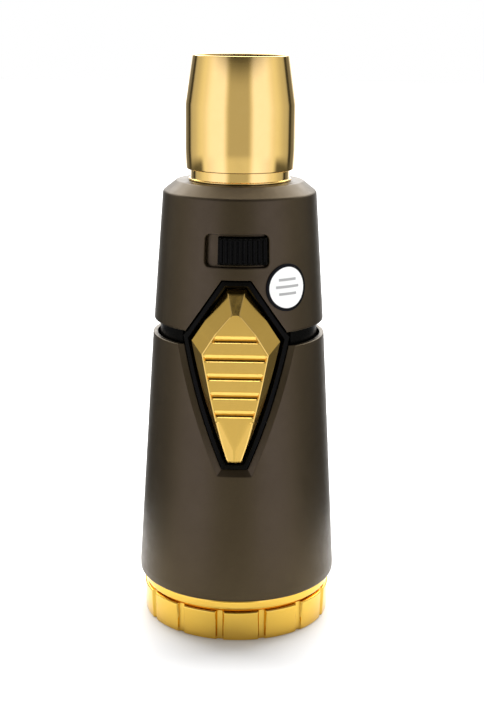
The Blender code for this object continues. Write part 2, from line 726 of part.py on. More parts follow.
def make_lever(look):
    """The black carrier behind the button, with its hinge boss, piezo nub and valve tail."""
    front = -TRIGGER_BACK + GAP
    back = front + LEVER_THICKNESS
    outline = whole(diamond(BEZEL_WIDTH + TRIGGER_CLEARANCE + LEVER_INSET))
    lever = extruded("trigger_lever", outline, front, back, "XZ", look)
    pin = (0, -hinge_depth(), PIN_Z)
    half = CHASSIS_HALF_WIDTH - 2 * GAP
    boss = rod("lever_boss", LEVER_BOSS_RADIUS, -half, 2 * half, None, pin, "X")
    web_half = LEVER_WEB_HALF
    web = block("lever_web", (-web_half, front, PIN_Z - MM), (web_half, back, PIN_Z + 6 * MM))
    foot = block("lever_foot", (-web_half, -hinge_depth(), PIN_Z - MM), (web_half, back, PIN_Z + MM))
    nub_half = LEVER_NUB_HALF
    nub = block(
        "lever_nub",
        (-nub_half, back - MM, PIEZO_Z - nub_half),
        (nub_half, back + 0.5 * MM, PIEZO_Z + nub_half),
    )
    tail = block(
        "lever_tail",
        (-nub_half, back - MM, TAIL_Z),
        (nub_half, TAIL_OVERLAP - ROCKER_PIN_DEPTH - ROCKER_FRONT, TAIL_Z + TAIL_THICKNESS),
    )
    join(lever, boss, web, foot, nub, tail)
    bore = TRIGGER_PIN_RADIUS + 0.2 * MM
    reach = CHASSIS_HALF_WIDTH + MM
    return cut(lever, rod("lever_bore", bore, -reach, 2 * reach, None, pin, "X"))


def make_trigger_spring(look):
    """A torsion spring round the hinge boss, with one leg up behind the lever and one inwards."""
    radius = LEVER_BOSS_RADIUS + TRIGGER_SPRING_WIRE / 2 + 0.35 * MM
    pitch = TRIGGER_SPRING_WIRE + 0.25 * MM
    turns = TRIGGER_SPRING_TURNS
    steps = 12
    start_x = CHASSIS_HALF_WIDTH - GAP - TRIGGER_SPRING_WIRE / 2 - pitch * turns
    points = [Vector((start_x, radius - hinge_depth(), PIN_Z + 6 * MM))]
    count = int(turns * steps)
    for i in range(count + 1):
        angle = math.tau * i / steps
        across = radius * math.cos(angle) - hinge_depth()
        up = PIN_Z - radius * math.sin(angle)
        points.append(Vector((start_x + pitch * turns * i / count, across, up)))
    last = points[-1]
    points.append(last + Vector((0, TRIGGER_SPRING_LEG, 0)))
    return wire("trigger_spring", points, TRIGGER_SPRING_WIRE / 2, look, 1)


# Lock slide ---------------------------------------------------------------------------------------
def lock_z():
    return UPPER_FOOT + LOCK_RISE


def lock_slot():
    """The slot's outline from the front: a rectangle with rounded corners."""
    z = lock_z()
    half_wide = body_radius(z) * math.sin(LOCK_HALF_ANGLE)
    half_high = LOCK_HEIGHT / 2
    outline = []
    for side, level in ((1, 1), (-1, 1), (-1, -1), (1, -1)):
        middle = Vector((side * (half_wide - LOCK_CORNER), z + level * (half_high - LOCK_CORNER)))
        first = math.atan2(level, side) - math.pi / 4
        for step in range(4):
            turn = first + math.pi / 2 * step / 3
            outline.append(middle + Vector((math.cos(turn), math.sin(turn))) * LOCK_CORNER)
    return outline


def make_lock_plate(look):
    """The track behind the slot, with a slit that the knob's neck runs in."""
    z = lock_z()
    outer = -SHELL_WALL - GAP
    inner = outer - LOCK_PLATE
    half_high = LOCK_HEIGHT / 2 + LOCK_PLATE_LIP
    edge = LOCK_HALF_ANGLE + math.radians(5)
    plate = sector("lock_plate", z - half_high, z + half_high, -edge, edge, inner, outer, look)
    start, end = neck_angles()
    spare = math.radians(1.2)
    slit = sector(
        "lock_slit_cutter",
        z - 1.8 * MM,
        z + 1.8 * MM,
        start - LOCK_TRAVEL - spare,
        end + spare,
        inner - 2 * MM,
        outer + 2 * MM,
    )
    return cut(plate, slit)


def knob_angles():
    """Where the knob starts and ends, from the front, with the slide at the +X end of its slot."""
    end = LOCK_HALF_ANGLE - math.radians(0.8)
    return end - LOCK_KNOB_ANGLE, end


def neck_angles():
    start, end = knob_angles()
    middle = (start + end) / 2
    return middle - math.radians(5), middle + math.radians(5)


def make_lock_knob(look):
    """The ribbed thumb piece, with the neck that runs through the plate."""
    z = lock_z()
    start, end = knob_angles()
    low = z - LOCK_HEIGHT / 2 + 0.5 * MM
    high = z + LOCK_HEIGHT / 2 - 0.5 * MM
    inner = -SHELL_WALL
    teeth = 2 * LOCK_RIBS + 1
    rings = []
    for level in (low, high):
        ring = []
        for i in range(teeth):
            lift = LOCK_KNOB_PROUD - (LOCK_RIB_DEPTH if i % 2 else 0.0)
            for share in (0.15, 0.85):
                angle = start + (end - start) * (i + share) / teeth
                ring.append(around(body_radius(level) + lift, angle, level))
        for i in range(9):
            angle = end + (start - end) * i / 8
            ring.append(around(body_radius(level) + inner, angle, level))
        rings.append(ring)
    knob = skin("lock_slider", rings, look)
    neck_start, neck_end = neck_angles()
    deep = -SHELL_WALL - LOCK_PLATE - 2 * GAP
    neck = sector(
        "lock_neck", z - 1.4 * MM, z + 1.4 * MM, neck_start, neck_end, deep, inner + 0.5 * MM, None, 4
    )
    return join(knob, neck)


def make_lock_catch(look):
    """The catch inside the plate, which the neck carries across the top of the trigger lever."""
    z = lock_z()
    start, end = neck_angles()
    outer = -SHELL_WALL - LOCK_PLATE - 3 * GAP
    wide = math.radians(4)
    catch = sector(
        "lock_catch", z - 6.5 * MM, z + 2.5 * MM, start - wide, end + wide, outer - 1.8 * MM, outer, look, 6
    )
    return catch


# Chassis ------------------------------------------------------------------------------------------
def half_disc(name, radius, low, high, side, look=None):
    """Half of a disc, on one side of the middle plane."""
    inner = side * GAP / 2
    start = math.asin(GAP / 2 / radius)
    points = []
    steps = 14
    for i in range(steps + 1):
        angle = start + (math.pi - 2 * start) * i / steps
        points.append((side * radius * math.sin(angle), -radius * math.cos(angle)))
    points[0] = (inner, points[0][1])
    points[-1] = (inner, points[-1][1])
    return skin(name, [[Vector((x, y, z)) for x, y in points] for z in (low, high)], look)


def chassis_top_radius():
    return body_radius(CHASSIS_TOP_Z + CHASSIS_TOP) - SHELL_WALL - 2 * GAP


def chassis_back():
    """Where the side walls end behind, so that their corners stay inside the body."""
    return math.sqrt(chassis_top_radius() ** 2 - (CHASSIS_HALF_WIDTH + CHASSIS_WALL) ** 2)


def chassis_screw_back():
    return chassis_back() - CHASSIS_BOSS_RADIUS


def chassis_screw_places():
    """Height of each screw that joins the chassis halves."""
    return (FLOOR_Z + 7.7 * MM, LOWER_TOP - 9.3 * MM, CHASSIS_TOP_Z - 6.0 * MM)


def chassis_ear():
    """How far forward the walls run to hold the trigger's pin, kept inside the lower shell."""
    inside = body_radius(PIN_Z + EAR_RISE) - SHELL_WALL - GAP
    most = math.sqrt(inside**2 - (CHASSIS_HALF_WIDTH + CHASSIS_WALL) ** 2)
    return min(hinge_depth() + EAR_REACH, most)


def make_chassis_half(name, side, look):
    """One moulded half: a side wall, a floor, shelves for the igniter and the jet, and a top."""
    ear = -chassis_ear()
    wall_low = FLOOR_Z + MM
    wall_high = CHASSIS_TOP_Z + MM
    outline = [
        (ear, wall_low),
        (ear, PIN_Z + EAR_RISE),
        (-CHASSIS_FRONT, PIN_Z + EAR_RISE + EAR_SLOPE),
        (-CHASSIS_FRONT, wall_high),
        (chassis_back(), wall_high),
        (chassis_back(), wall_low),
    ]
    near = side * CHASSIS_HALF_WIDTH
    far = side * (CHASSIS_HALF_WIDTH + CHASSIS_WALL)
    half = extruded(name, outline, near, far, "YZ", look)
    middle = side * GAP / 2
    into = near + side * 0.5 * MM
    floor_radius = body_radius(FLOOR_Z + CHASSIS_FLOOR) - SHELL_WALL - 2 * GAP
    floor = half_disc(f"{name}_floor", floor_radius, FLOOR_Z, FLOOR_Z + CHASSIS_FLOOR, side)
    top_end = CHASSIS_TOP_Z + CHASSIS_TOP
    top = half_disc(f"{name}_top", chassis_top_radius(), CHASSIS_TOP_Z, top_end, side)
    join(half, floor, top)
    piezo_low = PIEZO_Z - PIEZO_SIDE / 2 - GAP
    piezo_high = PIEZO_Z + PIEZO_SIDE / 2 + GAP
    shelves = [
        ("igniter_shelf", -CHASSIS_FRONT + MM, SHELF_END, piezo_low - SHELF_THICKNESS, piezo_low),
        ("jet_shelf", -6.0 * MM, SHELF_END, piezo_high, JET_Z - GAP),
        ("spring_stop", -3.0 * MM, 3.0 * MM, spring_stop_z(), spring_stop_z() + SHELF_THICKNESS),
    ]
    for part, y_low, y_high, z_low, z_high in shelves:
        low = (min(middle, into), y_low, z_low)
        high = (max(middle, into), y_high, z_high)
        join(half, block(f"{name}_{part}", low, high))
    for index, z in enumerate(chassis_screw_places()):
        boss_at = (0, chassis_screw_back(), z)
        start = min(middle, into)
        boss = rod(
            f"{name}_boss_{index + 1}", CHASSIS_BOSS_RADIUS, start, abs(into - middle), None, boss_at, "X", 12
        )
        join(half, boss)
    reach = CHASSIS_HALF_WIDTH + CHASSIS_WALL + MM
    for index, z in enumerate(chassis_screw_places()):
        hole_at = (0, chassis_screw_back(), z)
        bore = CHASSIS_SCREW_RADIUS + 0.25 * MM
        cut(half, rod(f"{name}_hole_{index + 1}", bore, -reach, 2 * reach, None, hole_at, "X", 12))
    pins = [
        ("trigger_pin", -hinge_depth(), PIN_Z, TRIGGER_PIN_RADIUS),
        ("rocker_pin", -ROCKER_PIN_DEPTH, ROCKER_Z, ROCKER_PIN_RADIUS),
    ]
    for part, y, z, radius in pins:
        hole = rod(f"{name}_{part}_hole", radius + 0.15 * MM, -reach, 2 * reach, None, (0, y, z), "X", 16)
        cut(half, hole)
    valve_hole = VALVE_RADIUS + 2 * GAP
    tube_hole = BURNER_TUBE_RADIUS + GAP
    cut(half, rod(f"{name}_valve_hole", valve_hole, FLOOR_Z - MM, CHASSIS_FLOOR + 2 * MM))
    cut(half, rod(f"{name}_tube_hole", tube_hole, CHASSIS_TOP_Z - MM, CHASSIS_TOP + 2 * MM))
    insulator_hole = INSULATOR_RADIUS + GAP
    insulator_at = (0, INSULATOR_ORBIT, 0)
    insulator = rod(
        f"{name}_insulator_hole", insulator_hole, CHASSIS_TOP_Z - MM, CHASSIS_TOP + 2 * MM, None, insulator_at
    )
    return cut(half, insulator)


def make_chassis_screw(index, z, look):
    """A pan-head screw that runs across the chassis from the +X side."""
    outside = CHASSIS_HALF_WIDTH + CHASSIS_WALL
    head = outside + GAP
    profile = [
        (CHASSIS_SCREW_RADIUS, -outside + MM),
        (CHASSIS_SCREW_RADIUS, head),
        (CHASSIS_SCREW_RADIUS * 2, head),
        (CHASSIS_SCREW_RADIUS * 2, head + 0.7 * MM),
        (CHASSIS_SCREW_RADIUS * 1.4, head + 1.1 * MM),
    ]
    return lathe(f"chassis_screw_{index}", profile, look, False, 16, (0, chassis_screw_back(), z), "X")


def make_pin(name, radius, y, z, look):
    half = CHASSIS_HALF_WIDTH + CHASSIS_WALL
    return rod(name, radius, -half, 2 * half, look, (0, y, z), "X", 16)


# Igniter ------------------------------------------------------------------------------------------
def make_piezo_body(look):
    half = PIEZO_SIDE / 2
    pocket = PIEZO_PLUNGER / 2 + GAP
    low = (-half, PIEZO_FRONT, PIEZO_Z - half)
    high = (half, PIEZO_FRONT + PIEZO_LENGTH, PIEZO_Z + half)
    body = block("piezo_body", low, high, look)
    inner = block(
        "piezo_pocket_cutter",
        (-pocket, PIEZO_FRONT - MM, PIEZO_Z - pocket),
        (pocket, PIEZO_FRONT + 10.5 * MM, PIEZO_Z + pocket),
    )
    return cut(body, inner)


def make_piezo_plunger(look):
    half = PIEZO_PLUNGER / 2
    front = -TRIGGER_BACK + LEVER_THICKNESS + 0.5 * MM + 2 * GAP
    low = (-half, front, PIEZO_Z - half)
    return block("piezo_plunger", low, (half, PIEZO_FRONT + 5.0 * MM, PIEZO_Z + half), look)


def make_piezo_cap(look):
    """The brass contact on the back of the igniter."""
    back = PIEZO_FRONT + PIEZO_LENGTH + GAP
    profile = [(2.4 * MM, back), (2.4 * MM, back + 0.8 * MM), (1.2 * MM, back + 1.4 * MM)]
    return lathe("piezo_contact", profile, look, False, 16, (0, 0, PIEZO_Z), "Y")


def make_ignition_wire(look):
    """From the igniter's contact, up the back of the body, to the foot of the insulator."""
    start = PIEZO_FRONT + PIEZO_LENGTH + GAP + 0.8 * MM
    rise = PIEZO_Z + 3.4 * MM
    top = insulator_foot() - GAP
    route = [
        Vector((0, start, rise)),
        Vector((0, start + 0.6 * MM, rise + 4 * MM)),
        Vector((0, start - 2.0 * MM, rise + 11 * MM)),
        Vector((0, INSULATOR_ORBIT + 0.6 * MM, top - 5 * MM)),
        Vector((0, INSULATOR_ORBIT, top)),
    ]
    return wire("ignition_wire", smooth_path(route, 5), IGNITION_WIRE_RADIUS, look)


def insulator_foot():
    return CHASSIS_TOP_Z - 2.0 * MM


def insulator_top():
    return BURNER_BASE + BURNER_HEIGHT - 2.0 * MM


def make_insulator(look):
    """The ceramic sleeve beside the burner, with the bore that its electrode stands in."""
    foot = insulator_foot()
    top = insulator_top()
    bore = ELECTRODE_RADIUS + 0.2 * MM
    profile = [
        (INSULATOR_RADIUS - 0.3 * MM, foot),
        (INSULATOR_RADIUS, foot + 0.3 * MM),
        (INSULATOR_RADIUS, top - 0.3 * MM),
        (INSULATOR_RADIUS - 0.3 * MM, top),
        (bore, top),
        (bore, top - 4 * MM),
    ]
    return lathe("electrode_insulator", profile, look, False, 16, (0, INSULATOR_ORBIT, 0))


def make_electrode(look):
    """The spark electrode, bent over towards the burner's mouth."""
    top = insulator_top()
    route = [
        Vector((0, INSULATOR_ORBIT, top - 3.6 * MM)),
        Vector((0, INSULATOR_ORBIT, top + 1.0 * MM)),
        Vector((0, INSULATOR_ORBIT - 0.3 * MM, top + 2.6 * MM)),
        Vector((0, INSULATOR_ORBIT - 2.2 * MM, top + 4.2 * MM)),
        Vector((0, INSULATOR_ORBIT - 4.4 * MM, top + 4.5 * MM)),
    ]
    return wire("spark_electrode", smooth_path(route, 4), ELECTRODE_RADIUS, look)


# Gas path -----------------------------------------------------------------------------------------
def tank_radius():
    """The tank fills the ring that turns round it, unless the shell closes in on its shoulder first."""
    inside_ring = RING_RADIUS - RING_WALL - TANK_CLEARANCE
    inside_shell = body_radius(TANK_TOP - TANK_SHOULDER) - SHELL_WALL - GAP
    return min(inside_ring, inside_shell)


def refill_orbit():
    """Distance of the refill valve's axis from the body's."""
    return tank_radius() - REFILL_INSET


def make_tank(look):
    """The fuel tank: a cup, open below, with a flange that seats the lower shell."""
    outer = tank_radius()
    inner = outer - TANK_WALL
    hole = FLOW_TUBE_RADIUS + GAP
    flange_z = LOWER_FOOT
    flange = BODY_RADIUS_FOOT - FOOT_FILLET * 0.3 - SHELL_WALL - 2 * GAP
    profile = [
        (inner, TANK_BOTTOM),
        (outer, TANK_BOTTOM),
        (outer, flange_z),
        (flange, flange_z),
        (flange, flange_z + TANK_FLANGE),
        (outer, flange_z + TANK_FLANGE),
        (outer, TANK_TOP - TANK_SHOULDER),
        (outer - TANK_SHOULDER, TANK_TOP),
        (hole, TANK_TOP),
        (hole, TANK_TOP - TANK_WALL),
        (inner - TANK_SHOULDER, TANK_TOP - TANK_WALL),
        (inner, TANK_TOP - TANK_WALL - TANK_SHOULDER),
    ]
    return lathe("tank_cup", profile, look, True, INNER_SEGMENTS)


def make_tank_base(look):
    radius = tank_radius() - TANK_WALL - GAP
    hole = FLOW_TUBE_RADIUS + GAP
    profile = tube_loop(radius, hole, TANK_BOTTOM, TANK_BOTTOM + TANK_BASE)
    base = lathe("tank_base", profile, look, True, INNER_SEGMENTS)
    refill_at = (0, refill_orbit(), 0)
    refill_hole = REFILL_RADIUS + GAP
    return cut(base, rod("refill_hole", refill_hole, 0.0, TANK_BOTTOM + 2 * TANK_BASE, None, refill_at))


def make_tank_seal(look):
    """The rubber ring on top of the tank base, against the tank's wall."""
    outer = tank_radius() - TANK_WALL - GAP
    low = TANK_BOTTOM + TANK_BASE + GAP
    profile = tube_loop(outer, outer - TANK_SEAL, low, low + TANK_SEAL)
    return lathe("tank_seal", profile, look, True, INNER_SEGMENTS)


def make_flow_tube(look):
    """The brass tube through the middle of the tank, which the flow screw turns in."""
    low = flow_screw_foot() + 1.2 * MM
    profile = tube_loop(FLOW_TUBE_RADIUS, FLOW_TUBE_BORE, low, TANK_TOP)
    return lathe("flow_tube", profile, look, True)


def flow_screw_foot():
    return HUB_BOTTOM + HUB_THICKNESS + MM + GAP


def make_flow_screw(look):
    """The needle screw that the hub turns. Its foot is bored for the hub's screw."""
    foot = flow_screw_foot()
    head = foot + 0.9 * MM
    bore = HUB_SCREW_RADIUS + 0.25 * MM
    needle = FLOOR_Z + 1.2 * MM
    profile = [
        (bore, foot + 2.8 * MM),
        (bore, foot),
        (3.0 * MM, foot),
        (3.0 * MM, head),
        (FLOW_SCREW_RADIUS, head),
        (FLOW_SCREW_RADIUS, TANK_TOP - MM),
        (VALVE_BORE - GAP, TANK_TOP - GAP),
        (VALVE_BORE - GAP, needle),
        (0.3 * MM, needle + 1.5 * MM),
    ]
    return lathe("flow_screw", profile, look)


def make_hub(look):
    """The wheel inside the ring that carries its turn to the flow screw."""
    low = HUB_BOTTOM
    high = HUB_BOTTOM + HUB_THICKNESS
    rim = RING_RADIUS - RING_WALL - GAP
    well = HUB_SCREW_RADIUS + 2.0 * MM + GAP
    bore = HUB_SCREW_RADIUS + 0.25 * MM
    profile = [
        (rim, low),
        (rim, high),
        (HUB_BOSS_RADIUS, high),
        (HUB_BOSS_RADIUS, high + MM),
        (bore, high + MM),
        (bore, low + 1.2 * MM),
        (well, low + 1.2 * MM),
        (well, low),
    ]
    hub = lathe("adjuster_hub", profile, look, True, SEGMENTS)
    outer = rim - HUB_RIM
    inner = HUB_BOSS_RADIUS + MM
    pitch = math.tau / HUB_SPOKES
    for index in range(HUB_SPOKES):
        middle = pitch * index + math.pi
        far = pitch / 2 - math.asin(HUB_SPOKE_WIDTH / 2 / outer)
        close = pitch / 2 - math.asin(HUB_SPOKE_WIDTH / 2 / inner)
        steps = 10
        arcs = []
        for i in range(steps + 1):
            arcs.append((outer, middle - far + 2 * far * i / steps))
        for i in range(steps + 1):
            arcs.append((inner, middle + close - 2 * close * i / steps))
        window = [[around(r, a, z) for r, a in arcs] for z in (low - MM, high + 2 * MM)]
        cut(hub, skin(f"hub_window_{index + 1}", window))
    return hub


def make_hub_screw(look):
    low = HUB_BOTTOM - 0.3 * MM
    head = HUB_BOTTOM + 1.2 * MM - GAP
    profile = [
        (HUB_SCREW_RADIUS + 1.4 * MM, low),
        (HUB_SCREW_RADIUS + 2.0 * MM, low + 0.4 * MM),
        (HUB_SCREW_RADIUS + 2.0 * MM, head),
        (HUB_SCREW_RADIUS, head),
        (HUB_SCREW_RADIUS, flow_screw_foot() + 2.4 * MM),
    ]
    return lathe("hub_screw", profile, look)


def make_refill_body(look):
    """The refill valve: a flanged brass barrel, bored for its stem and spring."""
    foot = TANK_BOTTOM - GAP - 1.1 * MM
    seat = foot + 4.4 * MM
    top = foot + 12.4 * MM
    slim = STEM_RADIUS + GAP
    wide = REFILL_RADIUS - 0.8 * MM
    profile = [
        (slim, foot),
        (REFILL_FLANGE_RADIUS, foot),
        (REFILL_FLANGE_RADIUS, foot + 1.1 * MM),
        (REFILL_RADIUS, foot + 1.1 * MM),
        (REFILL_RADIUS, top),
        (0.5 * MM, top),
        (0.5 * MM, top - MM),
        (wide, top - MM),
        (wide, seat),
        (slim, seat),
    ]
    return lathe("refill_valve_body", profile, look, True, SMALL_SEGMENTS, (0, refill_orbit(), 0))


def make_refill_stem(look):
    foot = TANK_BOTTOM - GAP - 1.1 * MM
    seat = foot + 4.4 * MM + GAP
    profile = [
        (STEM_RADIUS - 0.2 * MM, foot - 0.8 * MM),
        (STEM_RADIUS, foot - 0.6 * MM),
        (STEM_RADIUS, seat),
        (STEM_RADIUS + 0.9 * MM, seat),
        (STEM_RADIUS + 0.9 * MM, seat + 1.2 * MM),
    ]
    return lathe("refill_stem", profile, look, False, 16, (0, refill_orbit(), 0))


def refill_spring_span():
    foot = TANK_BOTTOM - GAP - 1.1 * MM
    low = foot + 5.6 * MM + 2 * GAP
    return low + 0.2 * MM, foot + 11.4 * MM - GAP - 0.2 * MM


def make_refill_spring(look):
    low, high = refill_spring_span()
    points = coil_points(1.3 * MM, low, high, 5, (0, refill_orbit()), 8)
    return wire("refill_spring", points, 0.2 * MM, look, 1)


def make_valve_body(look):
    """The outlet valve on top of the tank, bored from end to end for the stem."""
    profile = [
        (VALVE_BORE, FLOOR_Z),
        (VALVE_RADIUS, FLOOR_Z),
        (VALVE_RADIUS, VALVE_TOP - 1.5 * MM),
        (VALVE_RADIUS - 1.5 * MM, VALVE_TOP),
        (VALVE_BORE, VALVE_TOP),
    ]
    body = lathe("outlet_valve_body", profile, look, True)
    start = VALVE_RADIUS - MM
    nipple = rod("outlet_nipple", HOSE_RADIUS, start, 2.2 * MM, None, (0, 0, outlet_z()), "Y", 12)
    return join(body, nipple)


def outlet_z():
    return VALVE_TOP - 4.6 * MM


def stem_collar_z():
    return ROCKER_Z + ROCKER_THICKNESS / 2 + GAP


def make_stem(look):
    """The valve stem, with the collar that the rocker's fork lifts."""
    collar = stem_collar_z()
    foot = FLOOR_Z + 4.7 * MM
    profile = [
        (STEM_RADIUS - 0.3 * MM, foot),
        (STEM_RADIUS, foot + 0.5 * MM),
        (STEM_RADIUS, collar),
        (STEM_COLLAR_RADIUS, collar),
        (STEM_COLLAR_RADIUS, collar + STEM_COLLAR),
    ]
    return lathe("valve_stem", profile, look, False, 20)


def spring_stop_z():
    return stem_collar_z() + STEM_COLLAR + 6.0 * MM


def make_valve_spring(look):
    low = stem_collar_z() + STEM_COLLAR + GAP + 0.25 * MM
    high = spring_stop_z() - GAP - 0.25 * MM
    return wire("valve_spring", coil_points(1.9 * MM, low, high, 5), 0.25 * MM, look, 1)


def make_stem_seal(look):
    """The rubber washer on top of the valve body, round the stem."""
    low = VALVE_TOP + GAP
    return lathe("stem_seal", tube_loop(2.4 * MM, STEM_RADIUS + GAP, low, low + 0.9 * MM), look, True, 20)


def make_rocker(look):
    """The rocker: the trigger's tail presses its front, and its forked back lifts the stem."""
    pin_y = -ROCKER_PIN_DEPTH
    low = ROCKER_Z - ROCKER_THICKNESS / 2
    high = ROCKER_Z + ROCKER_THICKNESS / 2
    rocker = block(
        "valve_rocker",
        (-ROCKER_HALF_WIDTH, pin_y - ROCKER_FRONT, low),
        (ROCKER_HALF_WIDTH, pin_y + ROCKER_REAR, high),
        look,
    )
    slot = STEM_RADIUS + 0.5 * MM
    fork = block("rocker_fork_cutter", (-slot, -slot, low - MM), (slot, 10 * MM, high + MM))
    bore = rod("rocker_bore", ROCKER_PIN_RADIUS + 0.2 * MM, -5 * MM, 10 * MM, None, (0, pin_y, ROCKER_Z), "X")
    return cut(rocker, fork, bore)


def make_hose(look):
    """The gas hose, from the valve's nipple, past the igniter, to the jet holder."""
    start = VALVE_RADIUS + 1.2 * MM + GAP
    jet_z = JET_Z + 3.0 * MM
    end = JET_HOLDER_RADIUS + GAP
    route = [
        Vector((0, start, outlet_z())),
        Vector((0.4 * MM, start + 1.6 * MM, outlet_z() + 0.3 * MM)),
        Vector((2.6 * MM, HOSE_BACK, outlet_z() + 4.0 * MM)),
        Vector((HOSE_SIDE, HOSE_BACK, outlet_z() + 16 * MM)),
        Vector((HOSE_SIDE, HOSE_BACK, PIEZO_Z - 8 * MM)),
        Vector((HOSE_SIDE, HOSE_BACK, PIEZO_Z + 3 * MM)),
        Vector((4.2 * MM, HOSE_BACK + 0.3 * MM, jet_z - 2.2 * MM)),
        Vector((1.2 * MM, end + 3.6 * MM, jet_z)),
        Vector((0, end, jet_z)),
    ]
    return wire("gas_hose", smooth_path(route, 4), HOSE_RADIUS, look)


def make_jet_holder(look):
    top = JET_Z + JET_HOLDER_HEIGHT
    profile = [
        (JET_RADIUS + GAP, JET_Z + 2 * MM),
        (JET_RADIUS + GAP, top),
        (JET_FLANGE_RADIUS, top),
        (JET_FLANGE_RADIUS, top - MM),
        (JET_HOLDER_RADIUS, top - MM),
        (JET_HOLDER_RADIUS, JET_Z),
    ]
    return lathe("jet_holder", profile, look)


def make_jet(look):
    """The brass jet that stands in the holder and reaches into the mixing tube."""
    foot = JET_Z + 2 * MM + GAP
    top = JET_Z + JET_HOLDER_HEIGHT
    profile = [
        (JET_RADIUS, foot),
        (JET_RADIUS, top + 2.5 * MM),
        (0.6 * MM, top + 3.5 * MM),
        (0.2 * MM, top + 3.5 * MM),
        (0.2 * MM, top + 2.0 * MM),
    ]
    return lathe("gas_jet", profile, look, False, 16)


def make_burner_tube(look):
    """The mixing tube, with a row of air holes above the jet."""
    low = JET_Z + JET_HOLDER_HEIGHT + GAP
    inner = BURNER_TUBE_RADIUS - BURNER_TUBE_WALL
    profile = tube_loop(BURNER_TUBE_RADIUS, inner, low, BURNER_BASE - GAP)
    tube = lathe("mixing_tube", profile, look, True)
    reach = BURNER_TUBE_RADIUS + MM
    for index, axis in enumerate(("X", "Y")):
        at = (0, 0, low + AIR_HOLE_RISE)
        cut(tube, rod(f"air_hole_{index + 1}", AIR_HOLE_RADIUS, -reach, 2 * reach, None, at, axis, 12))
    return tube


def make_burner_head(look):
    """The steel cup at the top of the mixing tube."""
    top = BURNER_BASE + BURNER_HEIGHT
    inner = BURNER_RADIUS - BURNER_WALL
    hole = BURNER_TUBE_RADIUS - BURNER_TUBE_WALL
    profile = [
        (hole, BURNER_BASE),
        (BURNER_RADIUS - MM, BURNER_BASE),
        (BURNER_RADIUS, BURNER_BASE + MM),
        (BURNER_RADIUS, top),
        (inner, top),
        (inner, BURNER_BASE + BURNER_WALL + MM),
        (hole, BURNER_BASE + BURNER_WALL),
    ]
    return lathe("burner_head", profile, look, True, INNER_SEGMENTS)


def make_flame_holder(look):
    """The perforated disc inside the burner's mouth."""
    z = BURNER_BASE + BURNER_HEIGHT - 6.0 * MM
    radius = BURNER_RADIUS - BURNER_WALL - GAP
    holder = rod("flame_holder", radius, z, 1.5 * MM, look, segments=INNER_SEGMENTS)
    cut(holder, rod("holder_hole_0", 1.4 * MM, z - MM, 3.5 * MM, None, segments=12))
    for index in range(HOLDER_HOLES):
        angle = math.tau * (index + 0.5) / HOLDER_HOLES
        orbit = radius * 0.66
        at = (orbit * math.cos(angle), orbit * math.sin(angle), 0)
        cut(holder, rod(f"holder_hole_{index + 1}", 0.9 * MM, z - MM, 3.5 * MM, None, at, segments=8))
    return holder


def make_heat_shield(look):
    """The steel disc between the chassis and the hot end."""
    low = CHASSIS_TOP_Z + CHASSIS_TOP + GAP
    radius = body_radius(low + SHIELD_THICKNESS) - SHELL_WALL - 2 * GAP
    profile = tube_loop(radius, BURNER_TUBE_RADIUS + GAP, low, low + SHIELD_THICKNESS)
    shield = lathe("heat_shield", profile, look, True, INNER_SEGMENTS)
    at = (0, INSULATOR_ORBIT, 0)
    hole = rod("shield_hole", INSULATOR_RADIUS + GAP, low - MM, 3 * MM, None, at, segments=16)
    return cut(shield, hole)


# Assembly -----------------------------------------------------------------------------------------
def clear_scene():
    for old in list(bpy.data.objects):
        bpy.data.objects.remove(old, do_unlink=True)


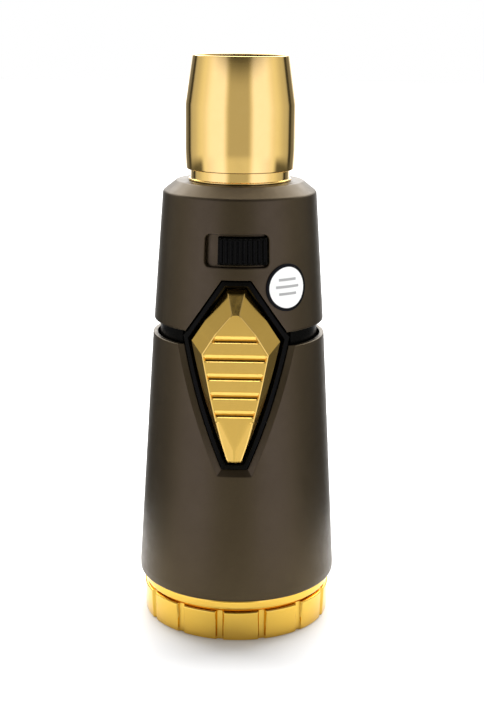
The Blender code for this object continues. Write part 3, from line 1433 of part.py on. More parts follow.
def main():
    clear_scene()
    gunmetal = material("gunmetal_paint", (76, 64, 48), 0.42, 0.6)
    gold = material("polished_gold", (225, 182, 82), 0.12, 1.0)
    black = material("black_plastic", (16, 16, 16), 0.45, 0.0)
    dark = material("dark_chassis_plastic", (52, 52, 56), 0.55, 0.0)
    tank = material("smoked_tank_plastic", (120, 112, 96), 0.2, 0.0)
    brass = material("brass", (196, 160, 92), 0.3, 1.0)
    steel = material("stainless_steel", (176, 178, 182), 0.28, 1.0)
    rubber = material("black_rubber", (24, 24, 24), 0.8, 0.0)
    ceramic = material("white_ceramic", (232, 228, 220), 0.35, 0.0)
    red = material("red_insulation", (150, 30, 26), 0.5, 0.0)
    paper = material("label_paper", (240, 240, 238), 0.6, 0.0)
    ivory = material("ivory_plastic", (226, 218, 196), 0.45, 0.0)

    make_upper_shell(gunmetal)
    make_lower_shell(gunmetal)
    make_band(black)
    make_bezel(black)
    make_guard(gold)
    make_neck(gold)
    make_label(paper)
    ring = make_ring(gold)

    button = make_button(gold)
    lever = make_lever(black)
    trigger_spring = make_trigger_spring(steel)
    make_pin("trigger_pin", TRIGGER_PIN_RADIUS, -hinge_depth(), PIN_Z, steel)

    make_lock_plate(gunmetal)
    knob = make_lock_knob(black)
    catch = make_lock_catch(black)

    make_chassis_half("chassis_left", -1, dark)
    make_chassis_half("chassis_right", 1, dark)
    for index, z in enumerate(chassis_screw_places()):
        make_chassis_screw(index + 1, z, steel)

    make_piezo_body(ivory)
    plunger = make_piezo_plunger(black)
    make_piezo_cap(brass)
    make_ignition_wire(red)
    make_insulator(ceramic)
    make_electrode(steel)

    make_tank(tank)
    make_tank_base(dark)
    make_tank_seal(rubber)
    make_flow_tube(brass)
    flow_screw = make_flow_screw(brass)
    hub = make_hub(dark)
    hub_screw = make_hub_screw(steel)
    make_refill_body(brass)
    refill_stem = make_refill_stem(brass)
    refill_spring = make_refill_spring(steel)

    make_valve_body(brass)
    stem = make_stem(steel)
    valve_spring = make_valve_spring(steel)
    make_stem_seal(rubber)
    rocker = make_rocker(steel)
    make_pin("rocker_pin", ROCKER_PIN_RADIUS, -ROCKER_PIN_DEPTH, ROCKER_Z, steel)

    make_hose(rubber)
    make_jet_holder(brass)
    make_jet(brass)
    make_burner_tube(steel)
    make_burner_head(steel)
    make_flame_holder(brass)
    make_heat_shield(steel)

    pivot("trigger_axis", (0, -hinge_depth(), PIN_Z), button, lever, trigger_spring)
    pivot("piezo_axis", (0, PIEZO_FRONT, PIEZO_Z), plunger)
    pivot("rocker_axis", (0, -ROCKER_PIN_DEPTH, ROCKER_Z), rocker)
    pivot("stem_axis", (0, 0, ROCKER_Z), stem, valve_spring)
    pivot("refill_axis", (0, refill_orbit(), TANK_BOTTOM), refill_stem, refill_spring)
    pivot("lock_axis", (0, 0, lock_z()), knob, catch)
    pivot("adjuster_axis", (0, 0, 0), ring, hub, hub_screw, flow_screw)


main()
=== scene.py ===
"""The looks of a refillable butane torch lighter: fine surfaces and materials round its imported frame."""

import json
import math

import bpy
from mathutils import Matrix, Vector


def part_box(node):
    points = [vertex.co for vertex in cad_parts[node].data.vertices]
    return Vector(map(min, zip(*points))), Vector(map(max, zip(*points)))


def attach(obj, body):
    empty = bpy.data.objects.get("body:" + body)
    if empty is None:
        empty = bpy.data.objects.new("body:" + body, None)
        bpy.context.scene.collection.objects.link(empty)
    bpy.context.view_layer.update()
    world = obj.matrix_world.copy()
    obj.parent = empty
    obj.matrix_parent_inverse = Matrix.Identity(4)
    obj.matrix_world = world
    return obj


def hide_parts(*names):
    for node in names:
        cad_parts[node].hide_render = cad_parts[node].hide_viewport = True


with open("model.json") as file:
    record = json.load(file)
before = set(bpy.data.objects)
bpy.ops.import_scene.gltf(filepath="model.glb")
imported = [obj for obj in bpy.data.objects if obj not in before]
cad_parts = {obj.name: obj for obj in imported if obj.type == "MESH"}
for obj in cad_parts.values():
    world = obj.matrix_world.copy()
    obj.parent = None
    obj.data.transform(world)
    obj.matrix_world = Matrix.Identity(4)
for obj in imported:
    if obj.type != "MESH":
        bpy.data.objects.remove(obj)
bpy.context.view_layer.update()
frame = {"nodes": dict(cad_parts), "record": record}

MM = 0.001

# Places read from the frame ------------------------------
GUARD_LOW, GUARD_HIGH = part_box("flame_guard")
COLLAR_LOW, COLLAR_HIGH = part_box("guard_collar")
CHEST_LOW, CHEST_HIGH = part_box("upper_shell")
SHELL_LOW, SHELL_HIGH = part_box("lower_shell")
BAND_LOW, BAND_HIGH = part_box("waist_band")
RING_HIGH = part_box("adjuster_ring")[1]
BEZEL_LOW, BEZEL_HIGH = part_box("trigger_bezel")
BUTTON_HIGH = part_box("trigger_button")[1]
KNOB_LOW, KNOB_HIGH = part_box("lock_slider")
PLATE_LOW, PLATE_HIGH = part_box("lock_plate")
LABEL_LOW, LABEL_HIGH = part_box("round_label")

LOWER_FOOT = SHELL_LOW.z
LOWER_TOP = SHELL_HIGH.z
UPPER_FOOT = CHEST_LOW.z
UPPER_TOP = CHEST_HIGH.z
FOOT_RADIUS = SHELL_HIGH.x
CHEST_RADIUS = CHEST_HIGH.x
GUARD_RADIUS = GUARD_HIGH.x

# Sizes of the fine surface ------------------------------
ROUND_STEPS = 240                   # sides of the round pieces
HARD_EDGE = 30                      # degrees above which an edge is shaded sharp
SOFT_EDGE = 24                      # the same where a piece has shallow facets
FLUTE_EDGE = 40                     # the same where it has fine rounds
EASE_STEPS = 5                      # parts of the small curve at a section's corner
EASE_MOST = 0.45                    # share of a side that one such curve may take
EASE_LEAST = 0.01 * MM              # smaller curves are left as corners
SHELL_WALL = 1.2 * MM
WAIST_RADIUS = 22.7 * MM
SHOULDER_RADIUS = 20.0 * MM
TOP_RADIUS = 16.5 * MM
SHOULDER_DROP = 2.8 * MM
FOOT_ROUND = 1.5 * MM
CONE_FOOT = LOWER_FOOT + 2.2 * MM   # where the lower shell's straight cone starts
EDGE_ROUND = 0.35 * MM
BAND_WALL = 1.5 * MM

NECK_RADIUS = 12.8 * MM
NECK_BORE = 10.5 * MM
NECK_FLANGE_RADIUS = COLLAR_HIGH.x
NECK_FLANGE = 2.8 * MM
NECK_LIP = 0.45 * MM                # height of the lip over the shell's top
NECK_LIP_REACH = 0.5 * MM
NECK_LIP_GAP = 0.08 * MM
GUARD_SKIRT = 1.1 * MM
GUARD_WALL = 0.9 * MM
GUARD_RIM_INSET = 1.8 * MM
GUARD_FOOT_INSET = 0.25 * MM
GUARD_FOOT_TAPER = 4.7 * MM
GUARD_STRAIGHT = 11.7 * MM

GAP = 0.3 * MM
BEZEL_TOP_HALF = 3.55 * MM
BEZEL_BOTTOM_HALF = 3.2 * MM
BEZEL_CORNER_HALF = BEZEL_HIGH.x
BEZEL_RISE = 2.3 * MM
BEZEL_WIDEST = LOWER_TOP + BEZEL_RISE
BEZEL_BULGE = 1.0 * MM
BEZEL_WIDTH = 1.8 * MM
BEZEL_SUNK = 0.3 * MM
BEZEL_DEPTH = 2.6 * MM
BEZEL_SLOPE = 0.7 * MM              # the slope inside it, towards the button
NOTCH_BEVEL = 1.7 * MM              # the wide bevel round the lower shell's notch
BELLY_NOTCH_EDGE = 0.12 * MM        # rounds of the notches' edges
CHEST_NOTCH_EDGE = 0.15 * MM
OUTLINE_STEP = 0.9 * MM             # distance between points along the bezel's outline
NEAR = 8.0 * MM                     # cutters for the front run between these distances from the axis
FAR = 40.0 * MM

BUTTON_CLEARANCE = 0.4 * MM
BUTTON_BACK = -BUTTON_HIGH.y
PLATEAU_PROUD = (3.0 * MM, 1.5 * MM)        # above the body at its top and at its foot
PLATEAU_TOP = (1.0 * MM, 7.0 * MM)          # half width, and height above the bezel's widest line
PLATEAU_SHOULDER = (4.95 * MM, 2.3 * MM)
PLATEAU_CORNER = (8.35 * MM, -3.1 * MM)
PLATEAU_KNEE = (5.0 * MM, -19.7 * MM)
CREST_PROUD = (0.9 * MM, 0.3 * MM)  # outer edge of the side facets above the body: widest corner, foot
BUTTON_RIDGE = 0.3 * MM             # width of the round along the facets' edges
GROOVES = 5
GROOVE_PITCH = 4.8 * MM
GROOVE_FIRST = 0.85 * MM            # the first groove above the bezel's widest line
GROOVE_HALF = 0.95 * MM
GROOVE_DEPTH = 0.66 * MM
GROOVE_LOWEST = 0.42                # where a groove is deepest: -1 at its upper lip, 1 at its lower one
GROOVE_MARGIN = 0.5 * MM            # left plain beside a groove's end
GROOVE_END_ROUND = 0.4              # how much further a groove reaches at its middle, in its half widths
GROOVE_RUN_OUT = 0.4 * MM           # a groove's end rises over this length
GROOVE_HOLLOW = 1.15                # above 1, a groove starts gently under its upper lip
GROOVE_SOFTNESS = 0.25              # round of its lowest line, in shares of its depth
GROOVE_ROWS = 16                    # rows of the button's grid over half a groove
GROOVE_LIP = 0.12 * MM              # from a groove's edge to the next row
BUTTON_ROW_STEP = 0.6 * MM          # distance between the grid's rows elsewhere
BUTTON_ROW_LEAST = 0.012 * MM       # closer rows are left out
BUTTON_TOP_ROWS = 10                # rows over the top facet
PEAK_SHARE = 0.26                   # share of the rim's upper side beside the top facet
RIDGE_STEPS = 3                     # parts of the round along the facets' edges
RIDGE_MOST = 0.4                    # share of a face's width that the round may take
FACE_COLUMNS = [0.0, 0.15, 0.3, 0.45, 0.58, 0.7, 0.8, 0.87, 0.92, 0.96]     # closer towards the edge
VEE_HALF = 3.4 * MM
VEE_TOP_DROP = 20.4 * MM
VEE_LENGTH = 7.2 * MM
VEE_SLOPE = 0.2
VEE_SPREAD = 0.3                    # how fast the flanks widen below the vee's point

PADS = 14
PAD_TURN = math.radians(4.8)        # from the front to the middle of the first pad
PAD_TOP = 8.1 * MM
RING_OUTER = 25.46 * MM
RING_TAPER = 0.32 * MM
RING_BAND = 25.2 * MM
RING_WALL = 2.4 * MM
SLIT_TOP = 8.8 * MM
FLUTE_DEPTH = 1.1 * MM
FLUTE_HALF = 1.2 * MM
FLUTE_POWER = 5                     # a higher power gives a flute a flatter bottom and steeper sides
FLUTE_RISE = 1.25                   # height of its side above its bottom at FLUTE_HALF, in flute depths
FLUTE_REACH = 1.6                   # how far out a side is worked out, in halves of a flute
RING_SOFTNESS = 0.12 * MM           # size of the round where a flute meets its pad
RING_EDGE = 0.36 * MM
PAD_COLUMNS = 44                    # columns of the ring's grid from one flute to the next
SLIT_DEPTH = 1.5 * MM
FLUTE_END = 7.7 * MM                # height of the middle of a flute's round top

SLOT_HALF_ANGLE = math.radians(22.5)
SLOT_HEIGHT = 8.1 * MM
SLOT_CORNER = 1.3 * MM
SLOT_CHAMFER = 0.45 * MM
SLOT_STEP = math.radians(1.5)       # turn between points along the slot's outline
CORNER_STEPS = 8
KNOB_END = SLOT_HALF_ANGLE - math.radians(0.8)
KNOB_ANGLE = math.radians(35.0)
KNOB_RIBS = 9
KNOB_RIB_DEPTH = 0.4 * MM
KNOB_PROUD = 0.8 * MM
KNOB_EDGE_SUNK = 0.4 * MM           # the dome's edge, under the body's surface
KNOB_DOME = 0.6 * MM                # width of the round all round the dome
KNOB_BORDER = (0.55 * MM, 0.8 * MM)         # from the edge: where the ribs start, and have full depth
KNOB_RIB_SHARPNESS = 0.7            # below 1, the ribs are wider than the grooves between them
LOCK_TRAVEL = math.radians(8.2)
LOCK_FLOOR = 1.3 * MM               # thickness of the slot's floor
LOCK_FLOOR_MARGIN = math.radians(5.0)       # how far the slot's floor reaches past the slot
STALK_HALF_ANGLE = math.radians(5.0)        # half the width of the neck behind the thumb piece
STALK_HALF_HIGH = 1.4 * MM
STALK_LENGTH = 1.9 * MM
STALK_CLEARANCE = 0.4 * MM          # above and below the stalk in its slit
STALK_SPARE = math.radians(1.2)     # at the slit's ends

LABEL_RADIUS = 6.0 * MM
LABEL_BORDER = 0.8 * MM
LABEL_ANGLE = math.radians(36.0)
LABEL_LIFT = (0.15 * MM, 0.35 * MM)         # its back and its face above the shell
LABEL_ROUND = 0.05 * MM
LABEL_STEPS = 96                    # sides of the label, and of the floor
LABEL_BARS = ((0.34, 0.42), (0.04, 0.56), (-0.26, 0.42))    # (height, half length) in the label's radius
LABEL_BAR_HALF = 0.045
LABEL_SOFTNESS = 0.02               # width of the soft edge of its print
LABEL_INK = 0.55                    # darkness of the bars

# Camera, fitted to the photograph's perspective
CAMERA_DISTANCE = 354.4 * MM
CAMERA_HEIGHT = 160.3 * MM
CAMERA_AZIMUTH = math.radians(1.85)
CAMERA_PITCH = math.radians(14.43)
CAMERA_ROLL = math.radians(0.51)
CAMERA_LENS = 67.46
CAMERA_SHIFT = 0.0051

# Materials
SCREEN_GAMMA = 2.2
TURNING_PITCH = 0.1 * MM            # spacing of the fine marks that turning leaves
TURNING_DEPTH = 0.0015 * MM
HEATED_LENGTH = 22 * MM             # how far down the flame has tinted the burner
PLASTIC_SHINE = (1.0, 0.94, 0.74, 1.0)      # warm, like the light off the gold beside it

# Studio
FLOOR_RADIUS = 3.0
FLOOR_MIRRORED = 90.0 * MM          # shiny pieces see the floor only this near to the axis
STUDIO_TURN = math.radians(1.2)
BOX_COLOUR = (1.0, 1.03, 1.45, 1.0)         # the soft boxes' cool tint, as mirrors see it
LIGHT_MOST = 5.0                    # the highest level that a ramp can hold
SOFT_GAIN = 1.22                    # matt pieces and the floor get this much more than mirrors do
# Light levels along half a turn from the camera's side (0) to the back (1), the two ends first
BOX_STOPS = [
    (0.0, 0.52), (1.0, 2.2), (0.10, 0.52), (0.19, 1.22), (0.33, 1.22), (0.45, 0.95), (0.62, 0.6),
    (0.665, 0.5), (0.70, 0.05), (0.735, 0.05), (0.76, 0.2), (0.83, 0.24), (0.89, 1.2),
]
ABOVE_STOPS = [(0.0, 0.05), (1.0, 4.6), (0.12, 0.06), (0.24, 0.40), (0.60, 0.42), (0.72, 4.6)]
TOP_STOPS = [(0.0, 3.2), (1.0, 3.2)]
LOW_STOPS = [
    (0.0, 0.74), (1.0, 1.6), (0.10, 0.78), (0.20, 1.3), (0.42, 1.0), (0.50, 0.12), (0.80, 0.10), (0.88, 1.0),
]
# The bands above and below the boxes, with the heights in degrees between which each takes over
BANDS = ((ABOVE_STOPS, 15, 22), (TOP_STOPS, 79, 85), (LOW_STOPS, -8, -13))


# Mesh helpers ------------------------------
def signed_volume(mesh):
    mesh.calc_loop_triangles()
    corners = [[mesh.vertices[i].co for i in face.vertices] for face in mesh.loop_triangles]
    return sum(a.dot(b.cross(c)) for a, b, c in corners)


def smooth(mesh, angle=HARD_EDGE):
    mesh.shade_smooth()
    mesh.set_sharp_from_angle(angle=math.radians(angle))


def skin(name, rings, joined=False, angle=HARD_EDGE):
    """A closed solid through rings of points. The ends are capped, or joined into a loop."""
    count = len(rings[0])
    faces = []
    for i in range(len(rings) if joined else len(rings) - 1):
        low = i * count
        high = (i + 1) % len(rings) * count
        for j in range(count):
            after = (j + 1) % count
            faces.append((low + j, low + after, high + after, high + j))
    if not joined:
        faces.append(tuple(reversed(range(count))))
        faces.append(tuple(range(count * (len(rings) - 1), count * len(rings))))
    return solid(name, [point for ring in rings for point in ring], faces, angle)


def solid(name, points, faces, angle=HARD_EDGE):
    """An object from points and faces, turned right side out. Edges sharper than the angle stay hard."""
    mesh = bpy.data.meshes.new(name)
    mesh.from_pydata([tuple(point) for point in points], [], faces)
    if signed_volume(mesh) < 0:
        mesh.flip_normals()
    smooth(mesh, angle)
    made = bpy.data.objects.new(name, mesh)
    bpy.context.scene.collection.objects.link(made)
    return made


def parabola(start, pull, end, t):
    """The point at t, from 0 to 1, of the curve that leaves start and reaches end towards the pull point."""
    return start * (1 - t) ** 2 + pull * 2 * t * (1 - t) + end * t * t


def eased(corners):
    """A closed outline from (x, y, round) corners, each turned into a small curve of about that radius."""
    line = []
    for i, (x, y, radius) in enumerate(corners):
        here = Vector((x, y))
        before = Vector(corners[i - 1][:2]) - here
        after = Vector(corners[(i + 1) % len(corners)][:2]) - here
        turn = math.pi - before.angle(after)
        longest = min(before.length, after.length) * EASE_MOST
        reach = min(radius * math.tan(turn / 2), longest)
        if reach < EASE_LEAST:
            line.append(here)
            continue
        start = here + before.normalized() * reach
        end = here + after.normalized() * reach
        for step in range(EASE_STEPS + 1):
            line.append(parabola(start, here, end, step / EASE_STEPS))
    return line


def lathe(name, corners):
    """A turned solid from the (radius, height, round) corners of its section."""
    turns = [math.tau * i / ROUND_STEPS for i in range(ROUND_STEPS)]
    rings = []
    for radius, z in eased(corners):
        rings.append([Vector((radius * math.cos(a), radius * math.sin(a), z)) for a in turns])
    return skin(name, rings, True)


def carve(piece, cutters, angle=HARD_EDGE):
    """Cuts the cutters out of the piece for good, and clears them away."""
    for cutter in cutters:
        step = piece.modifiers.new(cutter.name, "BOOLEAN")
        step.operation = "DIFFERENCE"
        step.solver = "EXACT"
        step.object = cutter
    bpy.context.view_layer.update()
    graph = bpy.context.evaluated_depsgraph_get()
    shape = bpy.data.meshes.new_from_object(piece.evaluated_get(graph))
    piece.modifiers.clear()
    piece.data = shape
    smooth(shape, angle)
    for cutter in cutters:
        bpy.data.objects.remove(cutter)
    return piece


def weigh_normals(piece):
    """Large faces keep their own direction, and the small rounds between them take up the turn."""
    step = piece.modifiers.new("weighted", "WEIGHTED_NORMAL")
    step.keep_sharp = True
    return piece


def put(piece, body, look, slot, *nodes):
    """Gives a piece its material and its body, and hides the CAD nodes that it stands for. The slot argument
    is not used.
    """
    piece.data.materials.append(look)
    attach(piece, body)
    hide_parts(*nodes)
    return piece


# The body's outer surface ------------------------------
def between(low, high, share):
    """The value at a share of the way from low to high."""
    return low + (high - low) * share


def body_radius(z):
    """Radius of the body's surface at a height, run straight across the waist gap."""
    if z >= UPPER_FOOT:
        shoulder = UPPER_TOP - SHOULDER_DROP
        return between(CHEST_RADIUS, SHOULDER_RADIUS, (z - UPPER_FOOT) / (shoulder - UPPER_FOOT))
    if z >= LOWER_TOP:
        return between(WAIST_RADIUS, CHEST_RADIUS, (z - LOWER_TOP) / (UPPER_FOOT - LOWER_TOP))
    return between(FOOT_RADIUS, WAIST_RADIUS, (z - CONE_FOOT) / (LOWER_TOP - CONE_FOOT))


def on_front(x, z, lift):
    """The point of the front, seen at (x, z), that stands this far off the body's surface."""
    radius = body_radius(z) + lift
    return Vector((x, -math.sqrt(max(radius * radius - x * x, 0.0)), z))


def around(radius, angle, z):
    """A point at an angle from the front, positive towards +X."""
    return Vector((radius * math.sin(angle), -radius * math.cos(angle), z))


def curve_through(start, knee, end, steps):
    """Points on a parabola from start to end that passes the knee half way."""
    pull = knee * 2 - (start + end) / 2
    return [parabola(start, pull, end, i / steps) for i in range(steps + 1)]


def diamond(inset):
    """Half of the bezel's outline, inset evenly: (x, z) from the top edge's end to the bottom edge's."""
    top = Vector((BEZEL_TOP_HALF, BEZEL_HIGH.z))
    corner = Vector((BEZEL_CORNER_HALF, BEZEL_WIDEST))
    bottom = Vector((BEZEL_BOTTOM_HALF, BEZEL_LOW.z))
    side = bottom - corner
    outward = Vector((-side.y, side.x)).normalized()
    curve = curve_through(corner, (corner + bottom) / 2 + outward * BEZEL_BULGE, bottom, 24)
    line = [Vector((-top.x, top.y)), top, *curve, Vector((-bottom.x, bottom.y))]
    inner = []
    for before, here, after in zip(line, line[1:], line[2:]):
        one = (here - before).normalized()
        two = (after - here).normalized()
        normal_one = Vector((one.y, -one.x))
        normal_two = Vector((two.y, -two.x))
        mitre = (normal_one + normal_two).normalized()
        inner.append(here + mitre * inset / mitre.dot(normal_one))
    return inner


def whole(half):
    """A half outline with its mirror image."""
    return list(half) + [Vector((-point.x, point.y)) for point in reversed(half)]


def neighbours(outline):
    """Each item of a closed outline with the one after it."""
    return list(zip(outline, outline[1:] + outline[:1]))


def diamond_rings(steps):
    """Rings on the body's front from (inset, lift) pairs, all with the same number of points."""
    sides = [(after - here).length for here, after in neighbours(whole(diamond(0)))]
    parts = [max(1, math.ceil(side / OUTLINE_STEP)) for side in sides]
    rings = []
    for inset, lift in steps:
        ring = []
        for (here, after), count in zip(neighbours(whole(diamond(inset))), parts):
            ring += [here.lerp(after, i / count) for i in range(count)]
        rings.append([on_front(point.x, point.y, lift) for point in ring])
    return rings


def through_front(name, rings):
    """A cutter from rings on the front, run on to flat ends inside and outside the body."""
    inside = [Vector((point.x, -NEAR, point.z)) for point in rings[0]]
    outside = [Vector((point.x, -FAR, point.z)) for point in rings[-1]]
    return skin(name, [inside, *rings, outside])


def grid_squares(wide, high):
    """The faces of a grid of points that is given row by row."""
    squares = []
    for i in range(high - 1):
        for j in range(wide - 1):
            corner = i * wide + j
            squares.append((corner, corner + 1, corner + wide + 1, corner + wide))
    return squares


def grid_border(wide, high):
    """The points round a grid's border, in order."""
    border = list(range(wide))
    border += [i * wide + wide - 1 for i in range(1, high)]
    border += [(high - 1) * wide + j for j in reversed(range(wide - 1))]
    border += [i * wide for i in reversed(range(1, high - 1))]
    return border


def slab(name, angles, heights, face, back, angle=HARD_EDGE):
    """A solid sheet over a grid of angles and heights. face and back give its radius at (angle, z)."""
    points = []
    for surface in (face, back):
        points += [around(surface(a, z), a, z) for z in heights for a in angles]
    wide = len(angles)
    high = len(heights)
    total = wide * high
    faces = []
    for square in grid_squares(wide, high):
        faces.append(square)
        faces.append(tuple(index + total for index in reversed(square)))
    for here, after in neighbours(grid_border(wide, high)):
        faces.append((after, here, here + total, after + total))
    return solid(name, points, faces, angle)


def spread(start, end, count):
    """The ends of count even steps from start to end."""
    return [start + (end - start) * i / count for i in range(count + 1)]


# Body pieces ------------------------------
def make_upper_shell():
    """The upper shell, with the trigger's notch and the lock's slot cut through it."""
    shoulder = UPPER_TOP - SHOULDER_DROP
    hole = NECK_RADIUS + GAP
    corners = [
        (hole, UPPER_TOP, 0.2 * MM),
        (TOP_RADIUS, UPPER_TOP, 0.6 * MM),
        (SHOULDER_RADIUS, shoulder, 1.2 * MM),
        (CHEST_RADIUS, UPPER_FOOT, 0.6 * MM),
        (CHEST_RADIUS - SHELL_WALL, UPPER_FOOT, 0.2 * MM),
        (SHOULDER_RADIUS - SHELL_WALL, shoulder - SHELL_WALL / 2, 0.2 * MM),
        (TOP_RADIUS - SHELL_WALL / 2, UPPER_TOP - SHELL_WALL, 0.2 * MM),
        (hole, UPPER_TOP - SHELL_WALL, 0.0),
    ]
    shell = lathe("chest_shell", corners)
    edge = CHEST_NOTCH_EDGE
    steps = [
        (-GAP, -2 * MM),
        (-GAP, -edge),
        (-GAP - edge / 3, -edge / 3),
        (-GAP - edge, 0.0),
        (-GAP - MM, MM),
    ]
    notch = through_front("notch", diamond_rings(steps))
    return weigh_normals(carve(shell, [notch, make_slot_cutter()]))


def slot_middle():
    """Height of the middle of the lock's slot."""
    return (PLATE_LOW.z + PLATE_HIGH.z) / 2


def slot_outline(spread_out):
    """The lock slot's outline as (angle, height), this much wider all round."""
    z = slot_middle()
    radius = body_radius(z)
    half_wide = radius * SLOT_HALF_ANGLE + spread_out
    half_high = SLOT_HEIGHT / 2 + spread_out
    corner = SLOT_CORNER + spread_out
    outline = []
    for side, level in ((1, 1), (-1, 1), (-1, -1), (1, -1)):
        first = math.atan2(level, side) - math.pi / 4
        across = side * (half_wide - corner)
        for step in range(CORNER_STEPS + 1):
            turn = first + math.pi / 2 * step / CORNER_STEPS
            angle = (across + corner * math.cos(turn)) / radius
            outline.append((angle, z + level * (half_high - corner) + corner * math.sin(turn)))
    return outline


def make_slot_cutter():
    """The cutter for the lock's slot, with the chamfer round its edge."""
    chamfer = SLOT_CHAMFER
    steps = [
        (0.0, -3 * MM),
        (0.0, -chamfer),
        (chamfer * 0.3, -chamfer * 0.3),
        (chamfer, 0.0),
        (chamfer * 3, chamfer * 2),
    ]
    rings = []
    for wider, lift in steps:
        ring = []
        for (a, z), (b, y) in neighbours(slot_outline(wider)):
            count = max(1, math.ceil(abs(b - a) / SLOT_STEP))
            for i in range(count):
                angle = between(a, b, i / count)
                level = between(z, y, i / count)
                ring.append(around(body_radius(level) + lift, angle, level))
        rings.append(ring)
    return through_front("slot", rings)


def make_lower_shell():
    """The lower shell, with the trigger's notch and its wide bevel."""
    corners = [
        (WAIST_RADIUS - SHELL_WALL, LOWER_TOP, 0.15 * MM),
        (WAIST_RADIUS, LOWER_TOP, EDGE_ROUND),
        (FOOT_RADIUS, CONE_FOOT, 3.0 * MM),
        (FOOT_RADIUS - 0.05 * MM, LOWER_FOOT, FOOT_ROUND),
        (FOOT_RADIUS - 0.66 * MM - SHELL_WALL, LOWER_FOOT, 0.1 * MM),
        (FOOT_RADIUS - SHELL_WALL, CONE_FOOT, 0.2 * MM),
    ]
    shell = lathe("belly_shell", corners)
    wide = -GAP - NOTCH_BEVEL
    edge = BELLY_NOTCH_EDGE
    steps = [
        (-GAP, -2 * MM),
        (-GAP, -SHELL_WALL * 0.8),
        (wide + edge * 2, -edge * 1.3),
        (wide + edge * 0.6, -edge * 0.3),
        (wide - edge * 0.6, 0.0),
        (wide - MM, 0.5 * MM),
    ]
    return weigh_normals(carve(shell, [through_front("notch", diamond_rings(steps))], SOFT_EDGE))


def make_waist_band():
    """The band behind the waist gap, open at the front where the trigger's frame stands."""
    outer = BAND_HIGH.x
    inner = outer - BAND_WALL
    corners = [
        (outer, BAND_LOW.z, 0.2 * MM),
        (outer, BAND_HIGH.z, 0.2 * MM),
        (inner, BAND_HIGH.z, 0.2 * MM),
        (inner, BAND_LOW.z, 0.2 * MM),
    ]
    band = lathe("black_band", corners)
    half = BEZEL_CORNER_HALF + GAP
    flat = ((-half, -FAR), (half, -FAR), (half, 0), (-half, 0))
    rings = [[Vector((x, y, z)) for x, y in flat] for z in (BAND_LOW.z - MM, BAND_HIGH.z + MM)]
    return weigh_normals(carve(band, [skin("front", rings)]))


def make_bezel():
    """The black frame round the trigger, as one loop of its section."""
    inner = BEZEL_WIDTH
    back = -BEZEL_SUNK - BEZEL_DEPTH
    edge = 0.25 * MM
    front = -BEZEL_SUNK
    steps = [
        (0.0, front - edge),
        (edge * 0.3, front - edge * 0.3),
        (edge, front),
        (inner - BEZEL_SLOPE, front),
        (inner - BEZEL_SLOPE * 0.85, front - 0.08 * MM),
        (inner - 0.05 * MM, front - 1.1 * MM),
        (inner, front - 1.3 * MM),
        (inner, back),
        (0.0, back),
    ]
    return weigh_normals(skin("trigger_frame", diamond_rings(steps), True))


def make_guard():
    """The barrel round the flame. It swells from its foot and narrows to its rim."""
    low = GUARD_LOW.z
    straight = low + GUARD_FOOT_TAPER
    cone = straight + GUARD_STRAIGHT
    foot = GUARD_RADIUS - GUARD_FOOT_INSET
    rim = GUARD_RADIUS - GUARD_RIM_INSET
    bore = GUARD_RADIUS - GUARD_SKIRT
    corners = [
        (foot, low, 0.5 * MM),
        (GUARD_RADIUS, straight, 40 * MM),
        (GUARD_RADIUS, cone, 8 * MM),
        (rim, GUARD_HIGH.z, 0.3 * MM),
        (rim - GUARD_WALL, GUARD_HIGH.z, 0.25 * MM),
        (bore, cone, 2 * MM),
        (bore, low, 0.3 * MM),
    ]
    return lathe("flame_barrel", corners)


def make_collar():
    """The neck, with the thin lip that it stands on over the shell's flat top."""
    flange_top = UPPER_TOP - SHELL_WALL - GAP
    flange_low = flange_top - NECK_FLANGE
    lip_low = UPPER_TOP + NECK_LIP_GAP
    lip_top = lip_low + NECK_LIP
    lip_radius = NECK_RADIUS + NECK_LIP_REACH
    corners = [
        (NECK_BORE, COLLAR_LOW.z, 0.2 * MM),
        (NECK_RADIUS, COLLAR_LOW.z, 0.2 * MM),
        (NECK_RADIUS, flange_low, 0.1 * MM),
        (NECK_FLANGE_RADIUS, flange_low, 0.2 * MM),
        (NECK_FLANGE_RADIUS, flange_top - MM, 0.2 * MM),
        (NECK_FLANGE_RADIUS - MM, flange_top, 0.2 * MM),
        (NECK_RADIUS, flange_top, 0.1 * MM),
        (NECK_RADIUS, lip_low, 0.05 * MM),
        (lip_radius, lip_low, 0.12 * MM),
        (lip_radius, lip_top, 0.2 * MM),
        (NECK_RADIUS, lip_top, 0.1 * MM),
        (NECK_RADIUS, COLLAR_HIGH.z, 0.2 * MM),
        (NECK_BORE, COLLAR_HIGH.z, 0.3 * MM),
    ]
    return lathe("flame_neck", corners)


def soft_least(a, b, blend):
    """The smaller of two lengths, rounded off where they cross."""
    share = max(blend - abs(a - b), 0.0) / blend
    return min(a, b) - share * share * blend / 4


def flute_radius(offset, z):
    """Radius of the bottom of a flute, this far sideways from its middle. It is round-ended at the top."""
    rise = max(z - FLUTE_END, 0.0)
    away = math.hypot(offset, rise)
    share = min(away / FLUTE_HALF, FLUTE_REACH)
    return RING_OUTER - FLUTE_DEPTH + FLUTE_DEPTH * share**FLUTE_POWER * FLUTE_RISE


def ring_section(z):
    """Radius of the ring with no flutes, at a height: pads, slit and plain band."""
    pad = RING_OUTER - RING_TAPER * (1 - z / PAD_TOP)
    if z <= PAD_TOP:
        return pad
    if z < SLIT_TOP:
        return RING_OUTER - SLIT_DEPTH
    return RING_BAND


